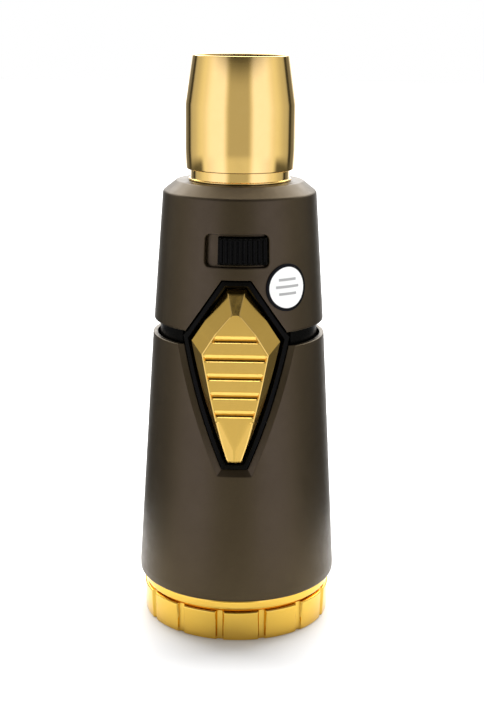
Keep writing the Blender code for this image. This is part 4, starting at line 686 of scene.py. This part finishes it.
def make_ring():
    """The fluted ring at the foot, as one fine grid round the axis."""
    rings = []
    for radius, z in ring_front():
        rings.append(ring_row(z, lambda offset: soft_least(radius, flute_radius(offset, z), RING_SOFTNESS)))
    inner = RING_OUTER - RING_WALL
    top = RING_HIGH.z
    round_off = 0.2 * MM
    back = [(inner + round_off, top), (inner, top - round_off), (inner, round_off), (inner + round_off, 0.0)]
    for radius, z in back:
        rings.append(ring_row(z, lambda offset: radius))
    return skin("foot_ring", rings, True, FLUTE_EDGE)


def ring_front():
    """The (radius, height) rows of the ring's outside, from its foot to its top."""
    edge = RING_EDGE
    top = RING_HIGH.z
    levels = [(z, 0.0) for z in spread(edge, PAD_TOP - 4 * edge, 8)]
    levels += [(z, 0.0) for z in spread(PAD_TOP - 3.5 * edge, PAD_TOP - edge, 5)]
    levels += [(PAD_TOP - 0.55 * edge, 0.08 * MM), (PAD_TOP - 0.25 * edge, 0.18 * MM), (PAD_TOP, 0.34 * MM)]
    rows = [(ring_section(z) - drop, z) for z, drop in levels]
    slit = RING_OUTER - SLIT_DEPTH
    rows += [(slit, PAD_TOP + 0.08 * MM), (slit, SLIT_TOP - 0.05 * MM)]
    rows += [(RING_BAND - 0.3 * MM, SLIT_TOP), (RING_BAND - 0.08 * MM, SLIT_TOP + 0.1 * MM)]
    rows += [(RING_BAND, z) for z in spread(SLIT_TOP + edge, top - edge, 6)]
    rows += [(RING_BAND - 0.08 * MM, top - 0.1 * MM), (RING_BAND - 0.28 * MM, top)]
    foot = RING_OUTER - RING_TAPER
    return [(foot - 0.28 * MM, 0.0), (foot - 0.08 * MM, 0.1 * MM), *rows]


def ring_row(z, radius_at):
    """One row of the ring's grid. radius_at gives its radius, from the distance to the nearest flute."""
    pitch = math.tau / PADS
    row = []
    for i in range(PADS * PAD_COLUMNS):
        share = bent((i % PAD_COLUMNS) / PAD_COLUMNS - 0.5)
        angle = PAD_TURN + pitch * (i // PAD_COLUMNS + 0.5 + share)
        row.append(around(radius_at(share * pitch * RING_OUTER), angle, z))
    return row


def bent(share):
    """Spaces the grid's columns more closely near a flute than over a pad."""
    return share * (0.45 + 2.2 * share * share)


# Trigger ------------------------------
def place(pair):
    """A point of the button's front from its distances beside and above the bezel's widest line."""
    return Vector((pair[0], BEZEL_WIDEST + pair[1]))


def plateau_depth(z):
    """Distance of the button's flat front from the plane through the body's axis, at a height."""
    top = BEZEL_WIDEST + PLATEAU_TOP[1]
    foot = BEZEL_LOW.z + BEZEL_WIDTH + BUTTON_CLEARANCE
    share = (z - foot) / (top - foot)
    return between(body_radius(foot) + PLATEAU_PROUD[1], body_radius(top) + PLATEAU_PROUD[0], share)


def groove_middles():
    """Heights of the middles of the grooves, from the top one down."""
    return [BEZEL_WIDEST + GROOVE_FIRST - GROOVE_PITCH * index for index in range(GROOVES)]


def plateau_half(foot, steps):
    """Half of the plateau's edge: its top, its shoulder, its corner and the long curve to its foot."""
    curve = curve_through(place(PLATEAU_CORNER), place(PLATEAU_KNEE), foot, steps)
    return [place(PLATEAU_TOP), place(PLATEAU_SHOULDER), *curve]


def half_width_at(edge, z):
    """Half-width of the plateau's edge at a height."""
    for above, below in zip(edge, edge[1:]):
        if above.y >= z > below.y:
            return between(above.x, below.x, (above.y - z) / (above.y - below.y))
    return edge[-1].x


def groove_depth(z, to_edge):
    """How deep the grooves cut into the plateau, at a height and this far from its edge."""
    for middle in groove_middles():
        across = (middle - z) / GROOVE_HALF
        if abs(across) < 1.0:
            reach = math.sqrt(1 - across * across) * GROOVE_HALF
            inside = to_edge - GROOVE_MARGIN + reach * GROOVE_END_ROUND
            end = min(max(inside / GROOVE_RUN_OUT, 0.0), 1.0)
            down = (1 + across) / (1 + GROOVE_LOWEST)
            up = (1 - across) / (1 - GROOVE_LOWEST)
            profile = soft_least(down**GROOVE_HOLLOW, up, GROOVE_SOFTNESS)
            return GROOVE_DEPTH * max(profile, 0.0) * (1 - (1 - end) ** 2)
    return 0.0


def vee_depth(x, z):
    """How far the facets at the button's foot lie under the plateau: a shallow vee, with flanks beside it."""
    top = BEZEL_WIDEST - VEE_TOP_DROP
    drop = top - z
    if drop <= 0:
        return 0.0
    vee = VEE_HALF * (1 - drop / VEE_LENGTH)
    beyond = abs(x) - max(vee, 0.0)
    if vee <= 0:
        beyond += (drop - VEE_LENGTH) * VEE_SPREAD
    return max(beyond, 0.0) * VEE_SLOPE


def button_heights(edge):
    """Heights of the grid's rows over the plateau: even steps, with close ones across each groove."""
    marks = {round(point.y, 7) for point in edge}
    low = edge[-1].y
    z = edge[0].y
    while z > low:
        marks.add(round(z, 7))
        z -= BUTTON_ROW_STEP
    for middle in groove_middles():
        for step in range(-GROOVE_ROWS, GROOVE_ROWS + 1):
            marks.add(round(middle + GROOVE_HALF * math.sin(math.pi / 2 * step / GROOVE_ROWS), 7))
        marks.add(round(middle + GROOVE_HALF + GROOVE_LIP, 7))
        marks.add(round(middle - GROOVE_HALF - GROOVE_LIP, 7))
    kept = []
    for z in sorted(marks, reverse=True):
        if low <= z <= edge[0].y and (not kept or kept[-1] - z > BUTTON_ROW_LEAST):
            kept.append(z)
    return kept


def button_row(inner, outer, foot, lower):
    """One row of the button's right half, from its middle to its back: face, round ridge, facet and wall."""
    middle = Vector((0.0, inner.y, inner.z))
    ridge = BUTTON_RIDGE
    towards = outer - inner
    reach = min(ridge, towards.length * RIDGE_MOST)
    start = inner.lerp(middle, min(ridge / max(inner.x, ridge), RIDGE_MOST))
    end = inner + towards.normalized() * reach if towards.length > EASE_LEAST else inner
    rounded = [parabola(start, inner, end, t) for t in spread(0.0, 1.0, RIDGE_STEPS)]
    face = [middle.lerp(start, share) for share in FACE_COLUMNS]
    if lower:
        for point in face:
            point.y += groove_depth(point.z, inner.x - point.x) + vee_depth(point.x, point.z)
        for point in rounded:
            point.y += vee_depth(point.x, point.z)
    return face + rounded + [outer, outer.lerp(foot, 0.08), foot]


def make_button():
    """The faceted button as one grid: top facet, plateau with its grooves, side facets and steep walls."""
    rim = diamond(BEZEL_WIDTH + BUTTON_CLEARANCE)
    edge = plateau_half(rim[-1] + Vector((0.0, 0.15 * MM)), len(rim) - 3)
    corner = place(PLATEAU_CORNER).y
    top = on_facet(rim, edge, 0.0)
    heights = button_heights(edge)
    rows = []
    peak = Vector((edge[0].x, -plateau_depth(edge[0].y), edge[0].y))
    for t in spread(0.0, 1.0, BUTTON_TOP_ROWS)[:-1]:
        rows.append((top.lerp(peak, t), t * PEAK_SHARE, False))
    for z in heights:
        inner = Vector((half_width_at(edge, z), -plateau_depth(z), z))
        if z >= corner:
            share = between(PEAK_SHARE, 1.0, (edge[0].y - z) / (edge[0].y - corner))
        else:
            share = 1.0 + (corner - z) / (corner - edge[-1].y)
        rows.append((inner, share, True))
    lines = []
    for inner, share, lower in rows:
        outer = on_facet(rim, edge, share)
        foot = Vector((outer.x, -BUTTON_BACK, outer.z))
        lines.append(button_row(inner, outer, foot, lower))
    first = lines[0]
    last = lines[-1]
    low = rim[-1].y
    lines.append([Vector((point.x, min(point.y + BUTTON_RIDGE, -BUTTON_BACK), low)) for point in last])
    lines.append([Vector((point.x, -BUTTON_BACK, low)) for point in last])
    lines.insert(0, [Vector((point.x, -BUTTON_BACK, point.z)) for point in first])
    full = []
    for line in lines:
        full.append([Vector((-point.x, point.y, point.z)) for point in reversed(line[1:])] + line)
    return weigh_normals(sheet_solid("gold_trigger", full))


def on_facet(rim, edge, share):
    """A point on the side facets' outer edge. Shares 0 to 1 run down to the widest corner, on the flat upper
    facet's plane, and 1 to 2 down to the foot."""
    if share <= 1.0:
        point = rim[0].lerp(rim[1], share)
        first = Vector((edge[0].x, -plateau_depth(edge[0].y), edge[0].y))
        second = Vector((edge[2].x, -plateau_depth(edge[2].y), edge[2].y))
        normal = (second - first).cross(on_front(rim[1].x, rim[1].y, CREST_PROUD[0]) - first)
        y = first.y - (normal.x * (point.x - first.x) + normal.z * (point.y - first.z)) / normal.y
        return Vector((point.x, y, point.y))
    curve = rim[1:]
    along = (share - 1.0) * (len(curve) - 1)
    index = min(int(along), len(curve) - 2)
    point = curve[index].lerp(curve[index + 1], along - index)
    return on_front(point.x, point.y, between(CREST_PROUD[0], CREST_PROUD[1], share - 1.0))


def sheet_solid(name, rows):
    """A solid from a grid of points whose border lies in one plane, closed by one flat face behind."""
    wide = len(rows[0])
    high = len(rows)
    faces = grid_squares(wide, high)
    faces.append(tuple(reversed(grid_border(wide, high))))
    return solid(name, [point for row in rows for point in row], faces, SOFT_EDGE)


# Lock slide and label ------------------------------
def make_lock_plate():
    """The slot's floor, with the slit that the knob's neck runs in."""
    outer = -SHELL_WALL - GAP
    inner = outer - LOCK_FLOOR
    edge = SLOT_HALF_ANGLE + LOCK_FLOOR_MARGIN
    angles = spread(-edge, edge, 40)
    heights = spread(PLATE_LOW.z, PLATE_HIGH.z, 4)
    plate = slab(
        "slot_floor",
        angles,
        heights,
        lambda a, z: body_radius(z) + outer,
        lambda a, z: body_radius(z) + inner,
    )
    start, end = neck_angles()
    half_high = STALK_HALF_HIGH + STALK_CLEARANCE
    z = slot_middle()
    slit = slab(
        "slit",
        spread(start - LOCK_TRAVEL - STALK_SPARE, end + STALK_SPARE, 16),
        [z - half_high, z + half_high],
        lambda a, z: body_radius(z),
        lambda a, z: body_radius(z) - 5 * MM,
    )
    return weigh_normals(carve(plate, [slit]))


def neck_angles():
    """Where the knob's neck starts and ends, seen from the front."""
    middle = KNOB_END - KNOB_ANGLE / 2
    return middle - STALK_HALF_ANGLE, middle + STALK_HALF_ANGLE


def knob_face(angle, z):
    """Radius of the thumb piece's face: a low dome with upright ribs inside a plain border."""
    across = (KNOB_END - angle) / KNOB_ANGLE
    up = (z - KNOB_LOW.z) / (KNOB_HIGH.z - KNOB_LOW.z)
    width = KNOB_ANGLE * body_radius(z)
    height = KNOB_HIGH.z - KNOB_LOW.z
    edge = min(across * width, (1 - across) * width, up * height, (1 - up) * height)
    dome = 1 - (1 - min(edge / KNOB_DOME, 1.0)) ** 2
    border = min(max((edge - KNOB_BORDER[0]) / (KNOB_BORDER[1] - KNOB_BORDER[0]), 0.0), 1.0)
    rib = (0.5 - 0.5 * math.cos(math.tau * across * (KNOB_RIBS + 1))) ** KNOB_RIB_SHARPNESS
    lift = between(-KNOB_EDGE_SUNK, KNOB_PROUD, dome)
    return body_radius(z) + lift - KNOB_RIB_DEPTH * border * (1 - rib)


def make_knob():
    """The ribbed thumb piece. The neck that runs through the slot's floor is made apart, by make_knob_neck.
    """
    fine = [0.0, 0.1, 0.25, 0.45]
    heights = [KNOB_LOW.z + step * MM for step in fine]
    heights += spread(KNOB_LOW.z + KNOB_DOME, KNOB_HIGH.z - KNOB_DOME, 24)
    heights += [KNOB_HIGH.z - step * MM for step in reversed(fine)]
    start = KNOB_END - KNOB_ANGLE
    angles = spread(start, KNOB_END, 150)
    back = lambda a, z: body_radius(z) - SHELL_WALL
    return slab("lock_thumb", angles, heights, knob_face, back, FLUTE_EDGE)


def make_knob_neck():
    """The neck that joins the thumb piece to the catch behind the slot's floor."""
    z = slot_middle()
    start, end = neck_angles()
    inner = SHELL_WALL + STALK_LENGTH
    return slab(
        "lock_stalk",
        spread(start, end, 8),
        [z - STALK_HALF_HIGH, z + STALK_HALF_HIGH],
        lambda a, z: body_radius(z) - SHELL_WALL + GAP,
        lambda a, z: body_radius(z) - inner,
    )


def make_label():
    """A round sticker that follows the shell, with a UV map that runs from -1 to 1 across it."""
    middle = (LABEL_LOW.z + LABEL_HIGH.z) / 2
    radius = body_radius(middle)
    back, face = LABEL_LIFT
    rows = [(0.02, back), (0.5, back), (1.0, back), (1.0, face - LABEL_ROUND)]
    rows += [(share, face) for share in (0.99, 0.8, 0.6, 0.4, 0.2, 0.02)]
    points = []
    flat = []
    for share, lift in rows:
        for i in range(LABEL_STEPS):
            turn = math.tau * i / LABEL_STEPS
            across = LABEL_RADIUS * share * math.cos(turn)
            up = LABEL_RADIUS * share * math.sin(turn)
            flat.append((across / LABEL_RADIUS, up / LABEL_RADIUS))
            z = middle + up
            points.append(around(body_radius(z) + lift, LABEL_ANGLE + across / radius, z))
    rings = [points[i : i + LABEL_STEPS] for i in range(0, len(points), LABEL_STEPS)]
    label = skin("blank_sticker", rings)
    layer = label.data.uv_layers.new(name="across")
    for loop in label.data.loops:
        layer.data[loop.index].uv = flat[loop.vertex_index]
    return label


# Materials ------------------------------
def linear(colour):
    """A colour of 0 to 255 a channel, as it shows on a screen, in the shader's own linear values."""
    return (*((channel / 255) ** SCREEN_GAMMA for channel in colour), 1.0)


def node(tree, kind, inputs=None, **settings):
    """A shader node with its settings, its values and its links."""
    made = tree.nodes.new(kind)
    for key, value in settings.items():
        setattr(made, key, value)
    for key, value in (inputs or {}).items():
        if isinstance(value, bpy.types.NodeSocket):
            tree.links.new(value, made.inputs[key])
        else:
            made.inputs[key].default_value = value
    return made


def sums(tree, operation, first, second=0.0, third=0.0):
    return node(tree, "ShaderNodeMath", {0: first, 1: second, 2: third}, operation=operation).outputs[0]


def mapped(tree, value, low, high, to_low, to_high):
    """A value's range changed to another one, with soft ends."""
    inputs = {"Value": value, "From Min": low, "From Max": high, "To Min": to_low, "To Max": to_high}
    return node(tree, "ShaderNodeMapRange", inputs, interpolation_type="SMOOTHSTEP").outputs["Result"]


def noise(tree, where, size, detail=3.0, rough=0.5, warp=0.0):
    """Noise from 0 to 1 with features of about this size in metres."""
    inputs = {"Vector": where, "Scale": 1 / size, "Detail": detail, "Roughness": rough, "Distortion": warp}
    return node(tree, "ShaderNodeTexNoise", inputs).outputs["Fac"]


def blank(name):
    """A new material with its tree, its shader and the coordinates of the piece's own surface."""
    made = bpy.data.materials.new(name)
    made.use_nodes = True
    tree = made.node_tree
    shader = tree.nodes["Principled BSDF"]
    where = node(tree, "ShaderNodeTexCoord").outputs["Object"]
    return made, tree, shader, where


def turned(tree, where):
    """Coordinates that run round the Z axis, so that noise becomes fine turning marks."""
    parts = node(tree, "ShaderNodeSeparateXYZ", {0: where}).outputs
    angle = sums(tree, "ARCTAN2", parts["Y"], parts["X"])
    out = sums(tree, "ADD", parts["Z"], from_middle(tree, parts))
    inputs = {0: angle, 2: sums(tree, "DIVIDE", out, TURNING_PITCH)}
    return node(tree, "ShaderNodeCombineXYZ", inputs).outputs[0]


def from_middle(tree, parts):
    """The distance of a point from the Z axis."""
    x_square = sums(tree, "MULTIPLY", parts["X"], parts["X"])
    y_square = sums(tree, "MULTIPLY", parts["Y"], parts["Y"])
    return sums(tree, "SQRT", sums(tree, "ADD", x_square, y_square))


def bump(tree, shader, height, depth):
    """Raises the surface by the height value times the depth, which is in metres."""
    made = node(tree, "ShaderNodeBump", {"Height": height, "Strength": 1.0, "Distance": depth})
    tree.links.new(made.outputs["Normal"], shader.inputs["Normal"])


def set_mix_colours(mix, first, second):
    """Sets both colours of a colour mix, whose sockets share their names with those of its other types."""
    colours = {"A": first, "B": second}
    for socket in mix.inputs:
        if socket.type == "RGBA":
            socket.default_value = colours[socket.name]


def tint(tree, shader, dark, light, share):
    """The base colour, between two tones."""
    mix = tree.nodes.new("ShaderNodeMix")
    mix.data_type = "RGBA"
    set_mix_colours(mix, linear(dark), linear(light))
    tree.links.new(share, mix.inputs[0])
    tree.links.new(mix.outputs[2], shader.inputs["Base Color"])


def set_roughness(tree, shader, value, low, high):
    tree.links.new(mapped(tree, value, 0.3, 0.7, low, high), shader.inputs["Roughness"])


def paint_look():
    """Satin gunmetal paint: metallic flake, faint orange peel and a few handling marks."""
    made, tree, shader, where = blank("satin_gunmetal_paint")
    flake = noise(tree, where, 0.12 * MM, 2.0)
    cloud = noise(tree, where, 9 * MM, 3.0)
    share = sums(tree, "ADD", sums(tree, "MULTIPLY", flake, 0.7), sums(tree, "MULTIPLY", cloud, 0.3))
    tint(tree, shader, (66, 56, 41), (86, 75, 56), share)
    set_roughness(tree, shader, noise(tree, where, 3 * MM, 5.0, 0.65), 0.34, 0.42)
    shader.inputs["Metallic"].default_value = 0.85
    shader.inputs["Specular IOR Level"].default_value = 0.4
    peel = noise(tree, where, 0.9 * MM, 2.0)
    height = sums(tree, "ADD", peel, sums(tree, "MULTIPLY", flake, 0.35))
    bump(tree, shader, height, 0.004 * MM)
    return made


def gold_look(name, dark, light, smoothest, roughest, streaks):
    """Gold plating: a warm mirror with fine turning or polishing marks and faint smudges."""
    made, tree, shader, where = blank(name)
    smudge = noise(tree, where, 4 * MM, 4.0, 0.6, 0.5)
    tint(tree, shader, dark, light, smudge)
    set_roughness(tree, shader, noise(tree, where, 1.4 * MM, 5.0, 0.7), smoothest, roughest)
    shader.inputs["Metallic"].default_value = 1.0
    marks = noise(tree, turned(tree, where), 1.0, 3.0) if streaks else noise(tree, where, 0.5 * MM, 3.0)
    bump(tree, shader, marks, 0.0006 * MM)
    return made


def plastic_look(name, dark, light, roughness, grain, depth, shine):
    """Moulded plastic with a fine texture, of this grain and depth, and a slight unevenness of tone."""
    made, tree, shader, where = blank(name)
    tint(tree, shader, dark, light, noise(tree, where, 2.5 * MM, 4.0, 0.6))
    set_roughness(tree, shader, noise(tree, where, grain * 3, 4.0), roughness - 0.06, roughness + 0.08)
    shader.inputs["Specular IOR Level"].default_value = shine
    shader.inputs["Specular Tint"].default_value = PLASTIC_SHINE
    bump(tree, shader, noise(tree, where, grain, 2.0), depth)
    return made


def metal_look(name, dark, light, roughness):
    """Bare machined metal, with turning marks and dull patches."""
    made, tree, shader, where = blank(name)
    patch = noise(tree, where, 3 * MM, 5.0, 0.65)
    tint(tree, shader, dark, light, patch)
    set_roughness(tree, shader, patch, roughness - 0.07, roughness + 0.1)
    shader.inputs["Metallic"].default_value = 1.0
    bump(tree, shader, noise(tree, turned(tree, where), 1.0, 3.0), TURNING_DEPTH)
    return made


def heated_look():
    """Steel that the flame has tinted: straw and violet towards its hot upper end."""
    made, tree, shader, where = blank("heat_tinted_steel")
    z = node(tree, "ShaderNodeSeparateXYZ", {0: where}).outputs["Z"]
    patch = noise(tree, where, 3 * MM, 4.0)
    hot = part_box("burner_head")[1].z
    warmth = mapped(tree, z, hot - HEATED_LENGTH, hot, 0.0, 1.0)
    level = sums(tree, "ADD", warmth, sums(tree, "MULTIPLY", patch, 0.25))
    ramp = node(tree, "ShaderNodeValToRGB", {"Fac": sums(tree, "SUBTRACT", level, 0.12)})
    stops = ramp.color_ramp.elements
    stops[0].color = linear((168, 168, 170))
    stops[1].color = linear((96, 98, 132))
    for position, colour in ((0.45, (176, 160, 126)), (0.75, (150, 116, 104))):
        stops.new(position).color = linear(colour)
    tree.links.new(ramp.outputs["Color"], shader.inputs["Base Color"])
    set_roughness(tree, shader, patch, 0.25, 0.42)
    shader.inputs["Metallic"].default_value = 1.0
    bump(tree, shader, noise(tree, turned(tree, where), 1.0, 3.0), TURNING_DEPTH)
    return made


def sticker_look():
    """White paper with a black border and three plain grey bars in place of any wording."""
    made, tree, shader, where = blank("sticker_paper")
    across = node(tree, "ShaderNodeUVMap", uv_map="across").outputs["UV"]
    parts = node(tree, "ShaderNodeSeparateXYZ", {0: across}).outputs
    away = from_middle(tree, parts)
    inside = 1 - LABEL_BORDER / LABEL_RADIUS
    border = mapped(tree, away, inside - LABEL_SOFTNESS / 2, inside + LABEL_SOFTNESS / 2, 0.0, 1.0)
    bars = None
    for middle, reach in LABEL_BARS:
        above = sums(tree, "ABSOLUTE", sums(tree, "SUBTRACT", parts["Y"], middle))
        near = mapped(tree, above, LABEL_BAR_HALF, LABEL_BAR_HALF + LABEL_SOFTNESS, 1.0, 0.0)
        aside = sums(tree, "ABSOLUTE", parts["X"])
        wide = mapped(tree, aside, reach, reach + LABEL_SOFTNESS, 1.0, 0.0)
        bar = sums(tree, "MULTIPLY", near, wide)
        bars = bar if bars is None else sums(tree, "MAXIMUM", bars, bar)
    fibre = noise(tree, where, 0.15 * MM, 3.0)
    ink = sums(tree, "MAXIMUM", border, sums(tree, "MULTIPLY", bars, LABEL_INK))
    fleck = sums(tree, "MULTIPLY", fibre, 0.02)
    tint(tree, shader, (244, 244, 243), (12, 12, 12), sums(tree, "ADD", ink, fleck))
    set_roughness(tree, shader, fibre, 0.45, 0.6)
    shader.inputs["Specular IOR Level"].default_value = 0.12
    bump(tree, shader, fibre, 0.003 * MM)
    return made


def make_plastics():
    """The moulded and soft materials, by slot."""
    kinds = {
        "black_plastic": ("black_moulded_plastic", (8, 8, 8), (12, 12, 12), 0.3, 0.12, 0.003, 0.07),
        "chassis_plastic": ("charcoal_plastic", (44, 44, 47), (56, 56, 60), 0.5, 0.2, 0.006, 0.5),
        "tank_plastic": ("smoked_plastic", (112, 104, 88), (128, 118, 100), 0.25, 0.5, 0.003, 0.5),
        "igniter_plastic": ("ivory_plastic", (216, 208, 186), (230, 222, 200), 0.42, 0.2, 0.004, 0.5),
        "rubber": ("black_rubber", (18, 18, 18), (30, 30, 29), 0.75, 0.15, 0.008, 0.3),
        "ceramic": ("white_ceramic", (226, 222, 212), (240, 237, 230), 0.3, 0.3, 0.003, 0.5),
        "wire_insulation": ("red_insulation", (134, 24, 20), (160, 36, 30), 0.45, 0.2, 0.004, 0.5),
    }
    looks = {}
    for slot, (name, dark, light, roughness, grain, depth, shine) in kinds.items():
        looks[slot] = plastic_look(name, dark, light, roughness, grain * MM, depth * MM, shine)
    return looks


def make_looks():
    """One material for each of the record's slots, and a darker, more saturated copy of the gold for the foot
    ring, whose colour carries painted shade and the painted warmth of gold reflected in gold.
    """
    return {
        **make_plastics(),
        "body_paint": paint_look(),
        "gold_metal": gold_look("turned_gold", (247, 206, 120), (251, 212, 128), 0.07, 0.11, True),
        # The foot ring's gold is the same gold made darker and more saturated: painted shade, with the
        # painted warmth of gold reflected in gold.
        "foot_gold": gold_look("ring_gold_painted_shade", (228, 184, 80), (233, 190, 86), 0.1, 0.15, False),
        "gold_plastic": gold_look("plated_gold", (240, 196, 98), (246, 203, 106), 0.12, 0.18, False),
        "brass": metal_look("turned_brass", (178, 142, 76), (206, 172, 100), 0.26),
        "steel": metal_look("bright_steel", (158, 160, 164), (190, 191, 194), 0.27),
        "label_paper": sticker_look(),
    }


# Stage ------------------------------
def make_floor():
    """A wide pale floor. Far from the object, shiny pieces see the studio's low light through it."""
    turns = [math.tau * i / LABEL_STEPS for i in range(LABEL_STEPS)]
    rings = [[around(FLOOR_RADIUS, turn, z) for turn in turns] for z in (-4 * MM, -0.02 * MM)]
    floor = skin("pale_floor", rings)
    made, tree, shader, where = blank("pale_paper")
    tint(tree, shader, (240, 240, 240), (246, 246, 246), noise(tree, where, 0.05, 3.0))
    set_roughness(tree, shader, noise(tree, where, 0.01, 3.0), 0.75, 0.85)
    bump(tree, shader, noise(tree, where, 0.5 * MM, 2.0), 0.005 * MM)
    spot = node(tree, "ShaderNodeSeparateXYZ", {0: where}).outputs
    away = sums(tree, "GREATER_THAN", from_middle(tree, spot), FLOOR_MIRRORED)
    glossy = node(tree, "ShaderNodeLightPath").outputs["Is Glossy Ray"]
    clear = node(tree, "ShaderNodeBsdfTransparent").outputs[0]
    mix = node(tree, "ShaderNodeMixShader", {0: sums(tree, "MULTIPLY", away, glossy), 2: clear})
    tree.links.new(shader.outputs[0], mix.inputs[1])
    tree.links.new(mix.outputs[0], tree.nodes["Material Output"].inputs["Surface"])
    floor.data.materials.append(made)


def light_ramp(tree, value, stops):
    """A light level along a value from 0 to 1, from (position, level) stops."""
    ramp = node(tree, "ShaderNodeValToRGB", {"Fac": value})
    elements = ramp.color_ramp.elements
    ramp.color_ramp.interpolation = "EASE"
    for index, (position, level) in enumerate(stops):
        element = elements[index] if index < 2 else elements.new(position)
        if index < 2:
            element.position = position
        share = level / LIGHT_MOST
        element.color = (share, share, share, 1.0)
    return sums(tree, "MULTIPLY", ramp.outputs["Color"], LIGHT_MOST)


def blend_levels(tree, low, high, share):
    """One light level where the share is 0 and the other where it is 1."""
    return sums(tree, "MULTIPLY_ADD", share, sums(tree, "SUBTRACT", high, low), low)


def make_studio():
    """Studio light from all round, in four bands of height. Soft boxes stand left and right of the camera."""
    world = bpy.data.worlds.new("studio")
    bpy.context.scene.world = world
    world.use_nodes = True
    tree = world.node_tree
    back = tree.nodes["Background"]
    towards = node(tree, "ShaderNodeTexCoord").outputs["Generated"]
    parts = node(tree, "ShaderNodeSeparateXYZ", {0: towards}).outputs
    angle = sums(tree, "ARCTAN2", parts["X"], sums(tree, "MULTIPLY", parts["Y"], -1.0))
    aside = sums(tree, "ABSOLUTE", sums(tree, "ADD", angle, STUDIO_TURN))
    side = sums(tree, "DIVIDE", aside, math.pi)
    rise = sums(tree, "ARCSINE", parts["Z"])
    level = light_ramp(tree, side, BOX_STOPS)
    for stops, start, end in BANDS:
        share = mapped(tree, rise, math.radians(start), math.radians(end), 0.0, 1.0)
        level = blend_levels(tree, level, light_ramp(tree, side, stops), share)
    paths = node(tree, "ShaderNodeLightPath").outputs
    level = sums(tree, "MULTIPLY", level, blend_levels(tree, SOFT_GAIN, 1.0, paths["Is Glossy Ray"]))
    level = blend_levels(tree, level, 1.0, paths["Is Camera Ray"])
    tree.links.new(level, back.inputs["Strength"])
    near_edge = mapped(tree, side, 0.11, 0.19, 0.0, 1.0)
    far_edge = mapped(tree, side, 0.3, 0.5, 1.0, 0.0)
    cool = sums(tree, "MULTIPLY", paths["Is Glossy Ray"], sums(tree, "MULTIPLY", near_edge, far_edge))
    mix = tree.nodes.new("ShaderNodeMix")
    mix.data_type = "RGBA"
    tree.links.new(cool, mix.inputs[0])
    set_mix_colours(mix, (1.0, 1.0, 1.0, 1.0), BOX_COLOUR)
    tree.links.new(mix.outputs[2], back.inputs["Color"])


def make_camera():
    """The camera where the photograph was taken from, at its height, turn, pitch and roll."""
    camera = bpy.data.objects.new("camera", bpy.data.cameras.new("camera"))
    bpy.context.scene.collection.objects.link(camera)
    camera.location = around(CAMERA_DISTANCE, CAMERA_AZIMUTH, CAMERA_HEIGHT)
    camera.rotation_mode = "XYZ"
    from_axis = math.radians(90) - CAMERA_PITCH
    camera.rotation_euler = (from_axis, 0, CAMERA_AZIMUTH)
    bpy.context.view_layer.update()
    camera.rotation_euler.rotate_axis("Z", CAMERA_ROLL)
    camera.data.lens = CAMERA_LENS
    camera.data.sensor_width = 36
    camera.data.shift_x = CAMERA_SHIFT
    camera.data.clip_start = 0.01
    camera.data.clip_end = 20
    bpy.context.scene.camera = camera


# Assembly ------------------------------
def dress_frame(looks):
    """Gives every CAD node that still shows its procedural material."""
    slots = {part["node"]: part["material_slot"] for part in frame["record"]["subparts"]}
    heated = heated_look()
    for name, shape in frame["nodes"].items():
        look = heated if name in ("burner_head", "mixing_tube") else looks[slots[name]]
        shape.data.materials.clear()
        shape.data.materials.append(look)
        smooth(shape.data, 32)


def main():
    looks = make_looks()
    paint = looks["body_paint"]
    gold = looks["gold_metal"]
    black = looks["black_plastic"]
    dress_frame(looks)
    put(make_upper_shell(), "body", paint, "body_paint", "upper_shell")
    put(make_lower_shell(), "body", paint, "body_paint", "lower_shell")
    put(make_lock_plate(), "body", paint, "body_paint", "lock_plate")
    put(make_waist_band(), "body", black, "black_plastic", "waist_band")
    put(make_bezel(), "body", black, "black_plastic", "trigger_bezel")
    put(make_guard(), "body", gold, "gold_metal", "flame_guard")
    put(make_collar(), "body", gold, "gold_metal", "guard_collar")
    put(make_label(), "body", looks["label_paper"], "label_paper", "round_label")
    # The ring takes the darker copy of the gold, whose colour carries painted shade.
    put(make_ring(), "adjuster", looks["foot_gold"], "gold_metal", "adjuster_ring")
    put(make_button(), "trigger", looks["gold_plastic"], "gold_plastic", "trigger_button")
    put(make_knob(), "lock", black, "black_plastic", "lock_slider")
    put(make_knob_neck(), "lock", black, "black_plastic", "lock_slider")
    make_floor()
    make_studio()
    make_camera()
    bpy.context.scene.view_settings.view_transform = "Standard"


main()
